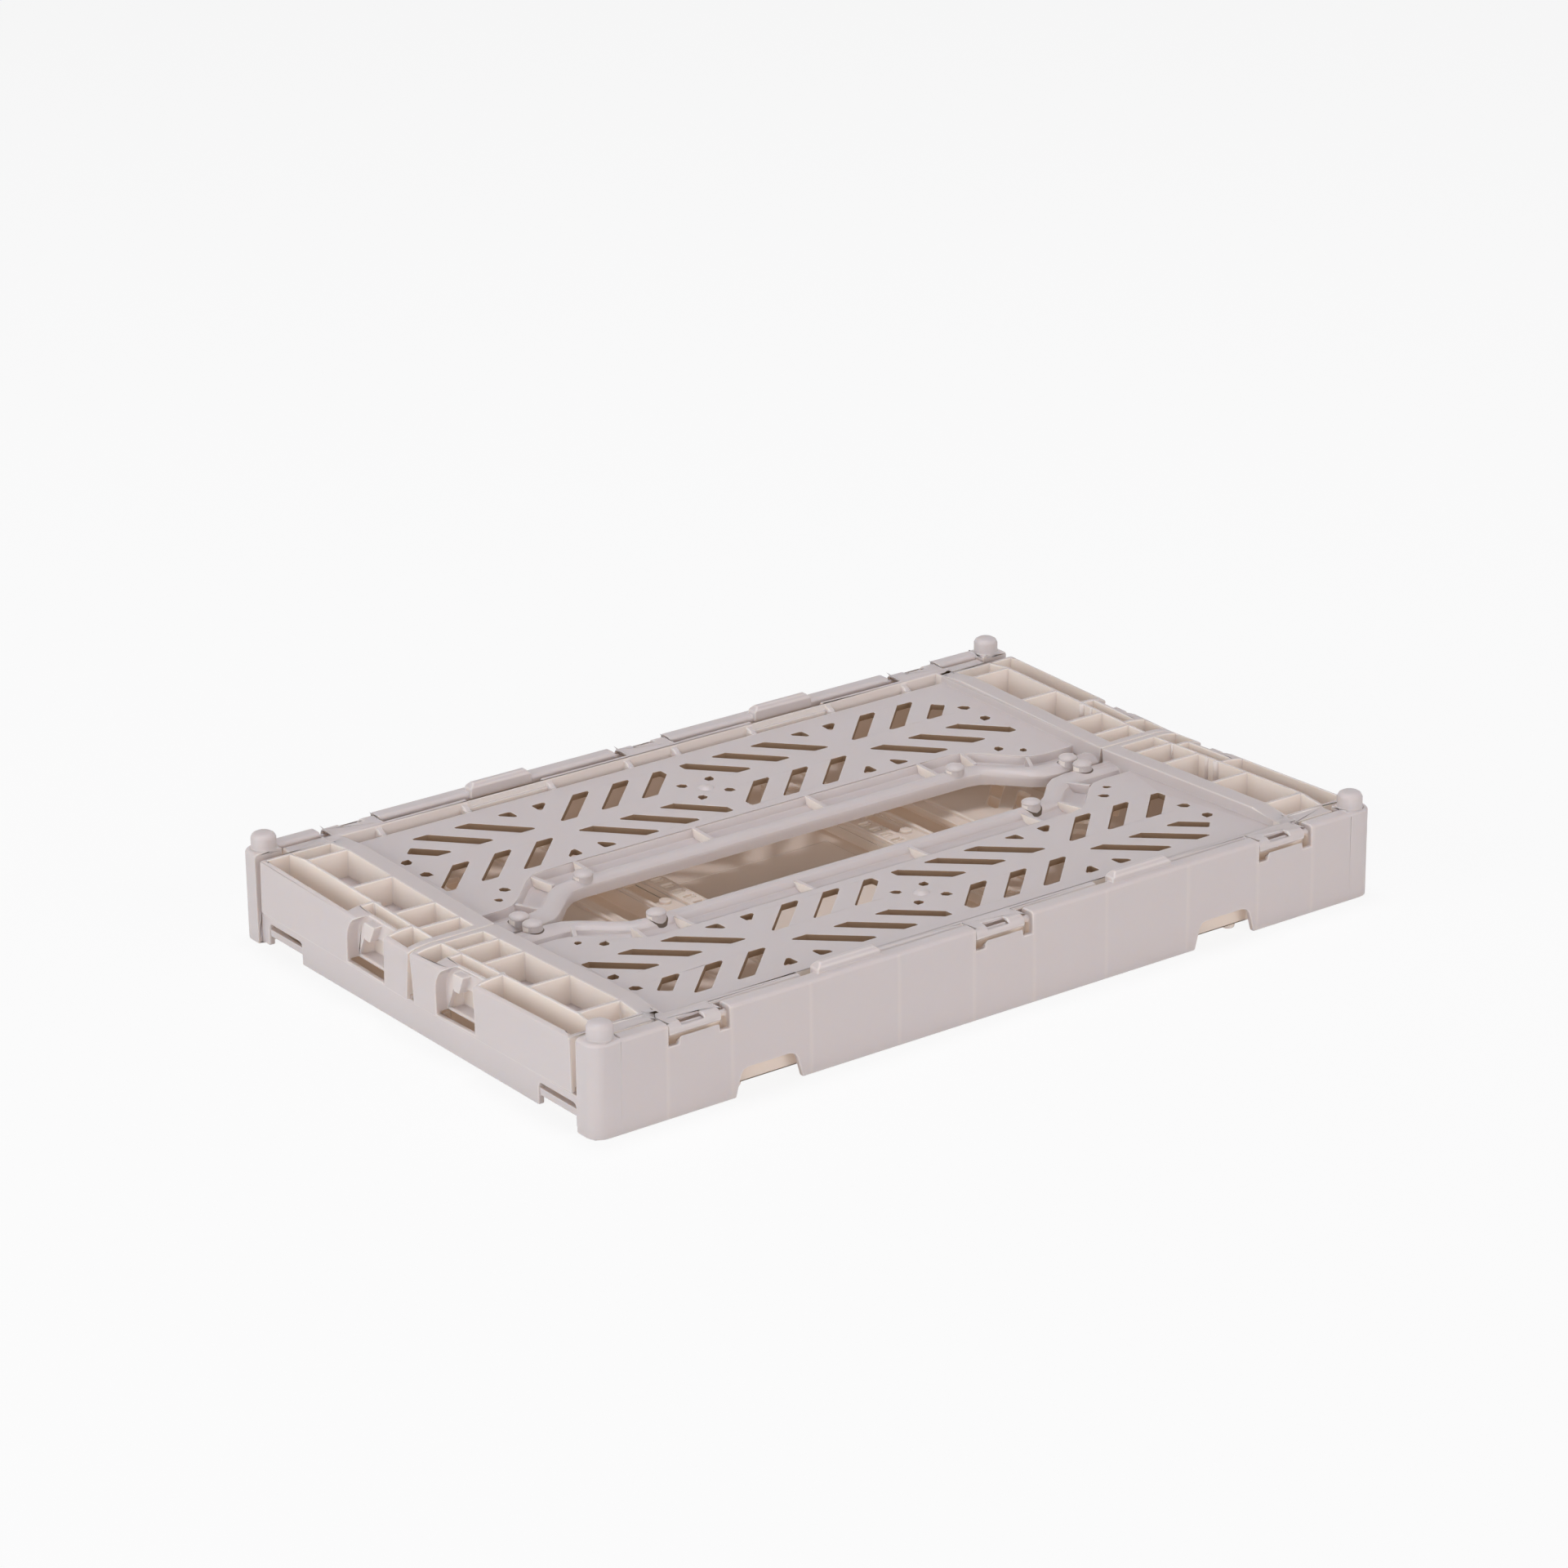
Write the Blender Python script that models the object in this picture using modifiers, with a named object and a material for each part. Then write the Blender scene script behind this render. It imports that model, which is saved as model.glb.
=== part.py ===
# Folding plastic crate, lying folded flat.
# The base tray carries two long side panels on three straps each, and two end panels on
# pivot pins. X runs along the crate, Y across it, Z up; the origin is the middle of the
# ground under the tray.
import math

import bmesh
import bpy
from mathutils import Matrix, Vector

for old in list(bpy.data.objects):
    bpy.data.objects.remove(old, do_unlink=True)

# General sizes of the moulding
crate_length = 0.2660
crate_width = 0.1710
overrun = 0.0200
bite = 0.0005
flush_step = 0.00005
running_gap = 0.0003

# Base tray: long walls, floor and end walls
wall_height = 0.02645
wall_outer_skin = 0.0015
wall_inner_skin = 0.0013
wall_depth = 0.0049
wall_top_skin = 0.0018
wall_top_round = 0.0011
wall_inner_foot = 0.0022
rib_thickness = 0.0012
wall_rib_reach = 0.0355
wall_rib_far_reach = 0.0645
floor_under = 0.0028
floor_top = 0.0048
pad_reach_x = 0.0290
pad_reach_y = 0.0310
pad_rise = 0.0003
end_wall_recess = 0.0018
end_wall_thickness = 0.0018
end_wall_height = 0.0089
end_notch_start = 0.0575
end_notch_end = 0.0745
end_notch_height = 0.0066
end_notch_round = 0.0014
long_notch_start = 0.0673
long_notch_end = 0.0888
long_notch_flare = 0.0022
long_notch_height = 0.0077
long_notch_round = 0.0022
foot_inset_x = 0.0480
foot_inset_y = 0.0065
foot_radius = 0.0020
foot_under = 0.0003
foot_chamfer = 0.0005

# Corner posts and the stacking pegs on them
post_length = 0.0090
post_width = 0.0080
post_height = 0.0265
post_round = 0.0041
peg_inset_x = 0.0052
peg_inset_y = 0.0045
peg_radius = 0.0036
peg_top = 0.0310
peg_crown = 0.0011
peg_edge = 0.0013

# Guide tongues on the long walls
tongue_length = 0.0208
tongue_width = 0.0035
tongue_inset = 0.0025
tongue_top = 0.0290
tongue_chamfer = 0.0010

# Side panel hinge: a bar in a gap of the wall and a hooked strap round it
hinge_inset = 0.0025
hinge_height = 0.0239
hinge_spacing = 0.1000
bar_radius = 0.0009
gap_half_width = 0.0096
seat_radius = 0.0029
seat_half_width = 0.0060
side_notch_low = 0.0203
side_notch_taper = 0.0006
strap_half_width = 0.0082
strap_shift = 0.0010
strap_thickness = 0.00095
strap_reach = 0.00215
strap_hook_low = 0.0011
window_half_width = 0.0036
window_shift = 0.0005
window_out = 0.0018
window_in = 0.0012

# Side panel: distances out from the hinge axis and heights over it
side_tilt = math.radians(1.74)
frame_top = 0.0034
lip_top = 0.0020
lip_round = 0.0006
plate_top = -0.0001
plate_thickness = 0.0019
flange_start = 0.0037
flange_start_at_tongue = 0.0057
tongue_room = 0.0026
trough_start = 0.0060
trough_start_at_tongue = 0.0068
trough_end = 0.0088
trough_floor = -0.0035
beam_under = -0.0047
beam_wall = 0.0012
plate_step = 0.0004
trough_post_reaches = (0.0084, 0.0355, 0.0645, 0.0930)
trough_post_thickness = 0.0019
step_inset = 0.0277
step_wall = 0.0012
step_under = -0.0022
strip_width = 0.0055
strip_skin = 0.0014
flange_end_inset = 0.0100
pocket_inset = 0.0088
pocket_wall = 0.0009
outer_skin = 0.0014
end_round_drop = 0.0019
cell_floor = -0.0046
floor_skin = 0.0012
pocket_floor = -0.0109
column_under = -0.0134
column_under_rise = 0.0013
column_start = 0.00815
slope_start = 0.0177
seam_clearance = 0.00025
seam_taper = 0.0011
column_rib_places = (0.0177, 0.0404, 0.0615, 0.0735)
latch_start = 0.0524
latch_length = 0.0182
latch_depth = 0.0037
latch_back = 0.0012
latch_ledge = -0.0114
latch_arch = 0.0085
latch_hole_slant = 0.0040
latch_hole_rise = 0.0078
latch_tongue_start = 0.0072
latch_tongue_end = 0.0122
latch_tongue_top = 0.0022
latch_tongue_low = -0.0030
latch_tongue_proud = 0.0026

# Ventilation slots, measured from the middle of each star
star_reach = 0.0515
star_line = 0.0334
row_near = 0.00385
row_far = 0.0179
slot_width = 0.0059
slot_start = 0.00365
slot_pitch = 0.01395
slots_per_quarter = 3
star_side_limit = 0.0483
short_slot_middle = 0.0114
slot_round = 0.0006
corner_hole_start = 0.0032
corner_hole_leg = 0.0042
drop_radius = 0.0015
drop_spread_x = 0.00465
drop_spread_y = 0.00485
edge_drop_reach = 0.0987
rail_drop_reach = 0.0866
rail_drop_out = 0.0238
small_drop_reach = 0.0916
small_drop_out = 0.01865
small_drop_radius = 0.0011
boss_radius = 0.0028
boss_height = 0.0009

# Carrying rail round the middle opening, measured from the middle line of the crate
opening_half_length = 0.0714
opening_half_width = 0.0140
seam_gap = 0.0003
ridge_width = 0.0062
slant_ridge_width = 0.0061
end_ridge_width = 0.0082
valley_width = 0.00805
slant_valley_width = 0.0067
end_valley_width = 0.0043
rail_rise = 0.0002
rail_crown = 0.0020
rail_skin = 0.0014
valley_depth = 0.0028
skirt_low = -0.0044
bend_fillet = 0.0045
gusset_thickness = 0.0012
gusset_reaches = (0.0198, 0.0602)
gusset_drop = 0.0001
stud_radius = 0.0027
stud_edge = 0.0006
mid_stud_reach = 0.0650
mid_stud_out = 0.0172
mid_stud_height = 0.0022
end_stud_reach = 0.0956
end_stud_out = 0.0032
end_stud_height = 0.0026

# End panel: distances in from its hinge axis and heights over it
end_hinge_inset = 0.0060
end_hinge_height = 0.0069
end_side_inset = 0.0180
end_reach = 0.0945
end_start = 0.0042
end_face = 0.0038
end_skin = 0.0018
end_under = -0.0013
end_wall_skin = 0.0014
rim_length = 0.0060
rim_top = 0.0049
comb_pitch = 0.0025
comb_depth = 0.0008
comb_margin = 0.0012
comb_half_width = 0.0600
channel_start = 0.0812
channel_hole_start = 0.0130
channel_hole_end = 0.0300
channel_peg_reach = 0.0110
channel_peg_radius = 0.0018
hand_hole_start = 0.0697
hand_hole_end = 0.0800
hand_hole_half_width = 0.0320
hand_hole_round = 0.0040
rim_bar_start = 0.0645
end_star_middle = 0.0340
end_star_reach = 0.0330
end_slot_width = 0.0052
end_slot_start = 0.0040
end_slot_pitch = 0.0115
end_slots_per_quarter = 3
end_row_near = 0.0040
end_row_far = 0.0190
end_margin = 0.0050
end_rib_places = (0.0200, 0.0440)
hook_start = 0.0690
hook_length = 0.0140
hook_reach = 0.0016
hook_thickness = 0.0022
knuckle_places = (-0.0500, 0.0000, 0.0500)
knuckle_radius = 0.0018
knuckle_half_width = 0.0050
knuckle_arm = 0.0026
end_pin_radius = 0.0011
end_pin_overhang = 0.0036
lug_thickness = 0.0026
lug_radius = 0.0020

# Facet counts and mesh tolerances
merge_distance = 0.000001
flat_angle = math.radians(0.05)
round_steps = 3
corner_steps = 6
strap_steps = 5
arch_steps = 7
bar_sides = 12
stud_sides = 12
peg_sides = 16
drop_sides = 6
crown_points = 6
bend_points = 3

# Worked out from the sizes above
half_length = crate_length / 2
half_width = crate_width / 2
wall_inner_reach = half_width - wall_depth
tongue_outer_reach = half_width - tongue_inset
tongue_inner_reach = tongue_outer_reach - tongue_width
tongue_reach = hinge_spacing / 2
tongue_zone_start = tongue_reach - tongue_length / 2 - tongue_room
tongue_zone_end = tongue_reach + tongue_length / 2 + tongue_room
hinge_reach_y = half_width - hinge_inset
step_reach = half_length - step_inset
strip_reach = step_reach + strip_width
flange_end_reach = half_length - flange_end_inset
pocket_start_reach = half_length - pocket_inset
cell_wall_reach = pocket_start_reach - pocket_wall
pocket_end_reach = half_length - outer_skin
latch_end = latch_start + latch_length
end_hinge_reach = half_length - end_hinge_inset
end_half_width = half_width - end_side_inset
plate_under = plate_top - plate_thickness
middle_out = hinge_reach_y
seam_reach = middle_out - seam_clearance
rail_top = plate_top + rail_rise
valley_floor = plate_top - valley_depth

crate = bpy.data.collections.new("folding_crate")
bench = bpy.data.collections.new("bench")
for group in (crate, bench):
    bpy.context.scene.collection.children.link(group)


def place_mesh(mesh, name="solid"):
    obj = bpy.data.objects.new(name, mesh)
    bench.objects.link(obj)
    return obj


def clean_mesh(mesh, joining=False):
    work = bmesh.new()
    work.from_mesh(mesh)
    bmesh.ops.remove_doubles(work, verts=work.verts, dist=merge_distance)
    if joining:
        bmesh.ops.dissolve_limit(work, angle_limit=flat_angle, verts=work.verts, edges=work.edges)
    bmesh.ops.recalc_face_normals(work, faces=work.faces)
    work.to_mesh(mesh)
    work.free()
    return mesh


def evaluated_mesh(obj):
    bpy.context.view_layer.update()
    graph = bpy.context.evaluated_depsgraph_get()
    mesh = bpy.data.meshes.new_from_object(obj.evaluated_get(graph))
    mesh.transform(obj.matrix_world)
    return mesh


def finished(obj):
    mesh = clean_mesh(evaluated_mesh(obj))
    bpy.data.objects.remove(obj)
    return place_mesh(mesh)


def sheet(outline, low, high, holes=()):
    # A flat outline with holes, filled and given its height.
    curve = bpy.data.curves.new("outline", "CURVE")
    curve.dimensions = "2D"
    curve.fill_mode = "BOTH"
    curve.extrude = (high - low) / 2
    for ring in (outline, *holes):
        spline = curve.splines.new("POLY")
        spline.points.add(len(ring) - 1)
        spline.use_cyclic_u = True
        for point, (x, y) in zip(spline.points, ring):
            point.co = (x, y, 0, 1)
    obj = place_mesh(curve)
    obj.location.z = (low + high) / 2
    return finished(obj)


def moved(obj, matrix):
    obj.data.transform(matrix)
    if matrix.determinant() < 0:
        obj.data.flip_normals()
    return obj


def block(x, y, z):
    work = bmesh.new()
    size = Matrix.Diagonal((abs(x[1] - x[0]), abs(y[1] - y[0]), abs(z[1] - z[0]), 1))
    middle = Matrix.Translation((sum(x) / 2, sum(y) / 2, sum(z) / 2))
    bmesh.ops.create_cube(work, size=1, matrix=middle @ size)
    mesh = bpy.data.meshes.new("block")
    work.to_mesh(mesh)
    work.free()
    return place_mesh(mesh)


def rod(start, end, radius, sides):
    start = Vector(start)
    along = Vector(end) - start
    work = bmesh.new()
    turn = along.to_track_quat("Z", "Y").to_matrix().to_4x4()
    place = Matrix.Translation(start + along / 2) @ turn
    bmesh.ops.create_cone(work, cap_ends=True, segments=sides, radius1=radius, radius2=radius,
                          depth=along.length, matrix=place)
    mesh = bpy.data.meshes.new("rod")
    work.to_mesh(mesh)
    work.free()
    return place_mesh(mesh)


def turned(profile, place, sides):
    # Profile of (radius, height), from the top of the axis down the outside.
    mesh = bpy.data.meshes.new("profile")
    mesh.from_pydata([(r, 0, z) for r, z in profile], [(i, i + 1) for i in range(len(profile) - 1)], [])
    obj = place_mesh(mesh)
    screw = obj.modifiers.new("turn", "SCREW")
    screw.steps = screw.render_steps = sides
    screw.use_merge_vertices = True
    screw.merge_threshold = merge_distance
    obj.location = place
    return finished(obj)


def combined(body, others, operation):
    group = bpy.data.collections.new("operands")
    for other in others:
        group.objects.link(other)
    step = body.modifiers.new(operation.lower(), "BOOLEAN")
    step.operation = operation
    step.operand_type = "COLLECTION"
    step.collection = group
    result = finished(body)
    for other in list(others):
        bpy.data.objects.remove(other)
    bpy.data.collections.remove(group)
    return result


def united(pieces):
    return combined(pieces[0], pieces[1:], "UNION")


def carved(body, cutters):
    return combined(body, cutters, "DIFFERENCE")


def rounded(ring, radius, steps=round_steps):
    # Each corner of the ring becomes an arc that touches both of its sides.
    points = []
    for i, corner in enumerate(ring):
        here = Vector(corner)
        back = (Vector(ring[i - 1]) - here).normalized()
        ahead = (Vector(ring[(i + 1) % len(ring)]) - here).normalized()
        half = back.angle(ahead) / 2
        middle = here + (back + ahead).normalized() * radius / math.sin(half)
        start = here + back * radius / math.tan(half) - middle
        end = here + ahead * radius / math.tan(half) - middle
        sweep = math.atan2(start.x * end.y - start.y * end.x, start.dot(end))
        for k in range(steps):
            turn = Matrix.Rotation(sweep * k / (steps - 1), 2)
            points.append(tuple(middle + turn @ start))
    return points


def circle(x, y, radius, sides):
    turns = [2 * math.pi * k / sides for k in range(sides)]
    return [(x + radius * math.cos(a), y + radius * math.sin(a)) for a in turns]


def clipped(ring, limit):
    # The part of the ring whose x is below the limit.
    kept = []
    for (x0, y0), (x1, y1) in zip(ring, ring[1:] + ring[:1]):
        if x0 <= limit:
            kept.append((x0, y0))
        if (x0 - limit) * (x1 - limit) < 0:
            kept.append((limit, y0 + (y1 - y0) * (limit - x0) / (x1 - x0)))
    return kept


def rectangle(x0, x1, y0, y1):
    return [(x0, y0), (x1, y0), (x1, y1), (x0, y1)]


def along_x(obj):
    # A sheet drawn as (y, z) and given its height along x.
    return moved(obj, Matrix(((0, 0, 1, 0), (1, 0, 0, 0), (0, 1, 0, 0), (0, 0, 0, 1))))


def along_y(obj):
    # A sheet drawn as (x, z) and given its height along y.
    return moved(obj, Matrix(((1, 0, 0, 0), (0, 0, 1, 0), (0, 1, 0, 0), (0, 0, 0, 1))))


def flipped(obj, x=1, y=1):
    return moved(obj, Matrix.Diagonal((x, y, 1, 1)))


# Base tray

def long_wall():
    # Inverted channel: two skins joined along the top, open below.
    outer = half_width
    arc = [math.radians(90 * k / round_steps) for k in range(round_steps + 1)]
    edge = [(wall_top_round * (1 - math.cos(a)), wall_height - wall_top_round * (1 - math.sin(a)))
            for a in arc]
    profile = [(outer, flush_step)] + [(outer - y, z) for y, z in edge]
    profile += [(wall_inner_reach + y, z) for y, z in reversed(edge)] + [
        (wall_inner_reach, wall_inner_foot),
        (wall_inner_reach + wall_inner_skin, wall_inner_foot),
        (wall_inner_reach + wall_inner_skin, wall_height - wall_top_skin),
        (outer - wall_outer_skin, wall_height - wall_top_skin),
        (outer - wall_outer_skin, flush_step)]
    reach = half_length - post_length + bite
    return along_x(sheet(profile, -reach, reach))


def hinge_places():
    return [k * hinge_spacing for k in (-1, 0, 1)]


def wall_ribs():
    places = [x + s * (gap_half_width + rib_thickness / 2) for x in hinge_places() for s in (-1, 1)]
    places += [s * r for r in (wall_rib_reach, wall_rib_far_reach) for s in (-1, 1)]
    low = wall_inner_foot + bite
    high = wall_height - wall_top_skin + bite
    inner = wall_inner_reach + wall_inner_skin - bite
    outer = half_width - wall_outer_skin + bite
    return [block((x - rib_thickness / 2, x + rib_thickness / 2), (inner, outer), (low, high))
            for x in places]


def wall_tongue(x):
    half = tongue_length / 2
    low = wall_height - bite
    hook_low = wall_height - wall_top_skin
    profile = [(tongue_inner_reach, hook_low), (wall_inner_reach + bite, hook_low),
               (wall_inner_reach + bite, low), (tongue_outer_reach, low),
               (tongue_outer_reach, tongue_top - tongue_chamfer),
               (tongue_outer_reach - tongue_chamfer, tongue_top),
               (tongue_inner_reach + tongue_chamfer, tongue_top),
               (tongue_inner_reach, tongue_top - tongue_chamfer)]
    body = along_x(sheet(profile, x - half, x + half))
    slopes = []
    for side in (-1, 1):
        end = x + side * half
        wedge = [(end - side * tongue_chamfer * 2, tongue_top + tongue_chamfer / 2),
                 (end + side * tongue_chamfer / 2, tongue_top - tongue_chamfer * 2),
                 (end + side * tongue_chamfer * 2, tongue_top + tongue_chamfer * 2)]
        slopes.append(along_y(sheet(wedge, tongue_inner_reach - bite, tongue_outer_reach + bite)))
    return carved(body, slopes)


def hinge_gap_cutters(x):
    wide = (x - gap_half_width, x + gap_half_width)
    inside = wall_inner_reach - overrun
    above = block(wide, (inside, half_width + overrun), (hinge_height, wall_height + overrun))
    seat = rod((wide[0], hinge_reach_y, hinge_height), (wide[1], hinge_reach_y, hinge_height),
               seat_radius, bar_sides * 2)
    cutters = [above, seat]
    for side in (-1, 1):
        outer = x + side * gap_half_width
        inner = x + side * seat_half_width
        ring = [(inner, hinge_height + bite), (outer, hinge_height + bite), (outer, side_notch_low),
                (inner + side * side_notch_taper, side_notch_low)]
        skin = half_width - wall_outer_skin - bite
        cutters.append(along_y(sheet(ring, skin, half_width + overrun)))
    return cutters


def long_notch_cutter(side):
    ring = [(side * long_notch_start, 0),
            (side * (long_notch_start + long_notch_flare), long_notch_height),
            (side * (long_notch_end - long_notch_flare), long_notch_height),
            (side * long_notch_end, 0)]
    soft = rounded(ring, long_notch_round, round_steps)
    flare = long_notch_flare * overrun / long_notch_height
    foot = [(side * (long_notch_end + flare), -overrun), (side * (long_notch_start - flare), -overrun)]
    return along_y(sheet(soft[round_steps:-round_steps] + foot, half_width - wall_outer_skin - bite,
                         half_width + overrun))


def tray_side():
    # The wall on the +Y side with its gaps, notches, ribs, tongues and bars.
    wall = united([long_wall()] + wall_ribs())
    cutters = []
    for x in hinge_places():
        cutters += hinge_gap_cutters(x)
    for side in (-1, 1):
        cutters.append(long_notch_cutter(side))
    wall = carved(wall, cutters)
    extra = [wall_tongue(side * tongue_reach) for side in (-1, 1)]
    for x in hinge_places():
        reach = gap_half_width + rib_thickness / 2
        extra.append(rod((x - reach, hinge_reach_y, hinge_height), (x + reach, hinge_reach_y, hinge_height),
                         bar_radius, bar_sides))
    return united([wall] + extra)


def post_ring(inset):
    # Outline of the post; its two outer sides come in by the inset.
    inner_x = half_length - post_length
    inner_y = half_width - post_width
    outer_x = half_length - inset
    outer_y = half_width - flush_step - inset
    corners = rounded(rectangle(inner_x, outer_x, inner_y, outer_y), post_round - inset, corner_steps)
    arc = corners[2 * corner_steps:3 * corner_steps]
    return [(inner_x, inner_y), (outer_x, inner_y)] + arc + [(inner_x, outer_y)]


def lofted(rings):
    # Closed skin over rings of equally many points, lowest ring first.
    work = bmesh.new()
    rows = [[work.verts.new(point) for point in ring] for ring in rings]
    count = len(rows[0])
    for row, following in zip(rows, rows[1:]):
        for k in range(count):
            ahead = (k + 1) % count
            work.faces.new((row[k], row[ahead], following[ahead], following[k]))
    work.faces.new(list(reversed(rows[0])))
    work.faces.new(rows[-1])
    mesh = bpy.data.meshes.new("loft")
    work.to_mesh(mesh)
    work.free()
    return place_mesh(clean_mesh(mesh))


def corner_post():
    levels = [(0, 0)]
    for k in range(round_steps + 1):
        angle = math.radians(90 * k / round_steps)
        levels.append((wall_top_round * (1 - math.cos(angle)),
                       post_height - wall_top_round * (1 - math.sin(angle))))
    post = lofted([[(x, y, z) for x, y in post_ring(inset)] for inset, z in levels])
    peg_reach_x = half_length - peg_inset_x
    peg_reach_y = half_width - peg_inset_y
    profile = [(0, peg_top), (peg_radius - peg_edge, peg_top - peg_crown / 3),
               (peg_radius - peg_edge / 3, peg_top - peg_crown), (peg_radius, peg_top - peg_crown * 2),
               (peg_radius, post_height - bite), (0, post_height - bite)]
    peg = turned(profile, (peg_reach_x, peg_reach_y, 0), peg_sides)
    return united([post, peg])


def end_wall():
    # Half of the end wall on the +X side with the notch by its post.
    outer = half_length - end_wall_recess
    reach = half_width - post_width + bite
    wall = block((outer - end_wall_thickness, outer), (-reach, reach), (flush_step, end_wall_height))
    cutters = []
    for side in (-1, 1):
        ring = rounded(rectangle(end_notch_start, end_notch_end, -end_notch_height, end_notch_height),
                       end_notch_round)
        if side < 0:
            ring = [(-y, z) for y, z in ring]
        cutters.append(along_x(sheet(ring, outer - end_wall_thickness - overrun, outer + overrun)))
    return carved(wall, cutters)


def end_lugs():
    # Eyes that hold the pivot pins of the end panel on the +X side.
    hole = circle(end_hinge_reach, end_hinge_height, end_pin_radius + running_gap, bar_sides)
    arc = [math.pi * k / (bar_sides / 2) for k in range(bar_sides // 2 + 1)]
    outline = [(end_hinge_reach + lug_radius * math.cos(a), end_hinge_height + lug_radius * math.sin(a))
               for a in arc]
    outline += [(end_hinge_reach - lug_radius, floor_top - bite), (end_hinge_reach + lug_radius, floor_top - bite)]
    lugs = []
    for y in knuckle_places:
        for side in (-1, 1):
            near = y + side * (knuckle_half_width + running_gap)
            low, high = sorted((near, near + side * lug_thickness))
            lugs.append(along_y(sheet(outline, low, high, [hole])))
    return lugs


def tray_feet():
    feet = []
    for sx in (-1, 1):
        for sy in (-1, 1):
            profile = [(0, floor_under + bite), (foot_radius, floor_under + bite),
                       (foot_radius, foot_under + foot_chamfer), (foot_radius - foot_chamfer, foot_under),
                       (0, foot_under)]
            place = (sx * (half_length - foot_inset_x), sy * (half_width - foot_inset_y), 0)
            feet.append(turned(profile, place, stud_sides))
    return feet


def base_tray():
    half_turn = Matrix.Rotation(math.pi, 4, "Z")
    floor = sheet(rectangle(-half_length + end_wall_recess + bite, half_length - end_wall_recess - bite,
                            -wall_inner_reach - bite, wall_inner_reach + bite), floor_under, floor_top)
    pad = block((-pad_reach_x, pad_reach_x), (-pad_reach_y, pad_reach_y),
                (floor_top - bite, floor_top + pad_rise))
    far = tray_side()
    near = moved(place_mesh(far.data.copy()), half_turn)
    pieces = [floor, pad, far, near, end_wall(), moved(end_wall(), half_turn)]
    for sx in (-1, 1):
        for sy in (-1, 1):
            pieces.append(flipped(corner_post(), sx, sy))
    lugs = end_lugs()
    pieces += lugs
    pieces += [moved(place_mesh(lug.data.copy()), half_turn) for lug in lugs]
    pieces += tray_feet()
    return united(pieces)


# Side panel, drawn in its own frame: x along the crate, y away from the hinge axis

def star_slots(side_x, side_y):
    # The slots of one quarter of a star, from its middle outwards.
    rings = []
    for k in range(slots_per_quarter):
        near = slot_start + k * slot_pitch
        far = near + row_far - row_near
        ring = [(near, row_near), (near + slot_width, row_near), (far + slot_width, row_far), (far, row_far)]
        outer_hinge = side_x > 0 and side_y < 0
        if k == slots_per_quarter - 1 and outer_hinge:
            centre = near + slot_width / 2 + short_slot_middle - row_near
            reach = slot_width / 4
            ring[2:] = [(centre + reach, short_slot_middle - reach),
                        (centre - reach, short_slot_middle + reach)]
        rings.append(rounded(clipped(ring, star_side_limit), slot_round))
    corner = [(corner_hole_start, row_far), (corner_hole_start, row_far - corner_hole_leg),
              (corner_hole_start + corner_hole_leg, row_far)]
    rings.append(rounded(corner, slot_round))
    return [[(x * side_x, y * side_y) for x, y in ring] for ring in rings]


def drop_hole(x, y, radius, towards):
    # A round hole drawn out to a point, like a drop.
    ring = []
    heading = math.atan2(towards[1], towards[0])
    for k in range(drop_sides):
        angle = heading + 2 * math.pi * k / drop_sides
        reach = radius * (math.sqrt(2) if k == 0 else 1)
        ring.append((x + reach * math.cos(angle), y + reach * math.sin(angle)))
    return ring


def plate_holes():
    rings = []
    for side in (-1, 1):
        for inward in (-1, 1):
            for side_y in (-1, 1):
                for ring in star_slots(inward, side_y):
                    rings.append([(side * (star_reach + x), star_line + y) for x, y in ring])
        for side_y in (-1, 1):
            y = star_line + side_y * drop_spread_y
            rings.append(drop_hole(side * drop_spread_x, y, drop_radius, (side, side_y)))
            rings.append(drop_hole(side * edge_drop_reach, y, drop_radius, (-side, side_y)))
        rings.append(drop_hole(side * rail_drop_reach, middle_out - rail_drop_out, drop_radius, (-side, 1)))
        rings.append(drop_hole(side * small_drop_reach, middle_out - small_drop_out, small_drop_radius,
                               (side, -1)))
    return rings


def rail_track(across, points=bend_points):
    # One line of the rail from end to end; across is 0 at the opening, 1 at the foot of
    # the ridge and 2 at the edge of the plate.
    ridge = min(across, 1)
    valley = max(across - 1, 0)
    straight = opening_half_width + ridge * ridge_width + valley * valley_width
    slant = opening_half_length + opening_half_width
    slant += math.sqrt(2) * (ridge * slant_ridge_width + valley * slant_valley_width)
    close = seam_gap + ridge * end_ridge_width + valley * end_valley_width
    turn = bend_fillet / math.sqrt(2)
    bends = []
    for (x, y), before, after in (((slant - straight, straight), (-bend_fillet, 0), (turn, -turn)),
                                  ((slant - close, close), (-turn, turn), (bend_fillet, 0))):
        corner = Vector((x, y))
        start = corner + Vector(before)
        end = corner + Vector(after)
        for k in range(points):
            t = k / (points - 1)
            bends.append(start * (1 - t) ** 2 + corner * 2 * t * (1 - t) + end * t ** 2)
    half = [(p.x, middle_out - p.y) for p in bends] + [(step_reach + step_wall / 3, middle_out - close)]
    return [(-x, y) for x, y in reversed(half)] + half


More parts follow.
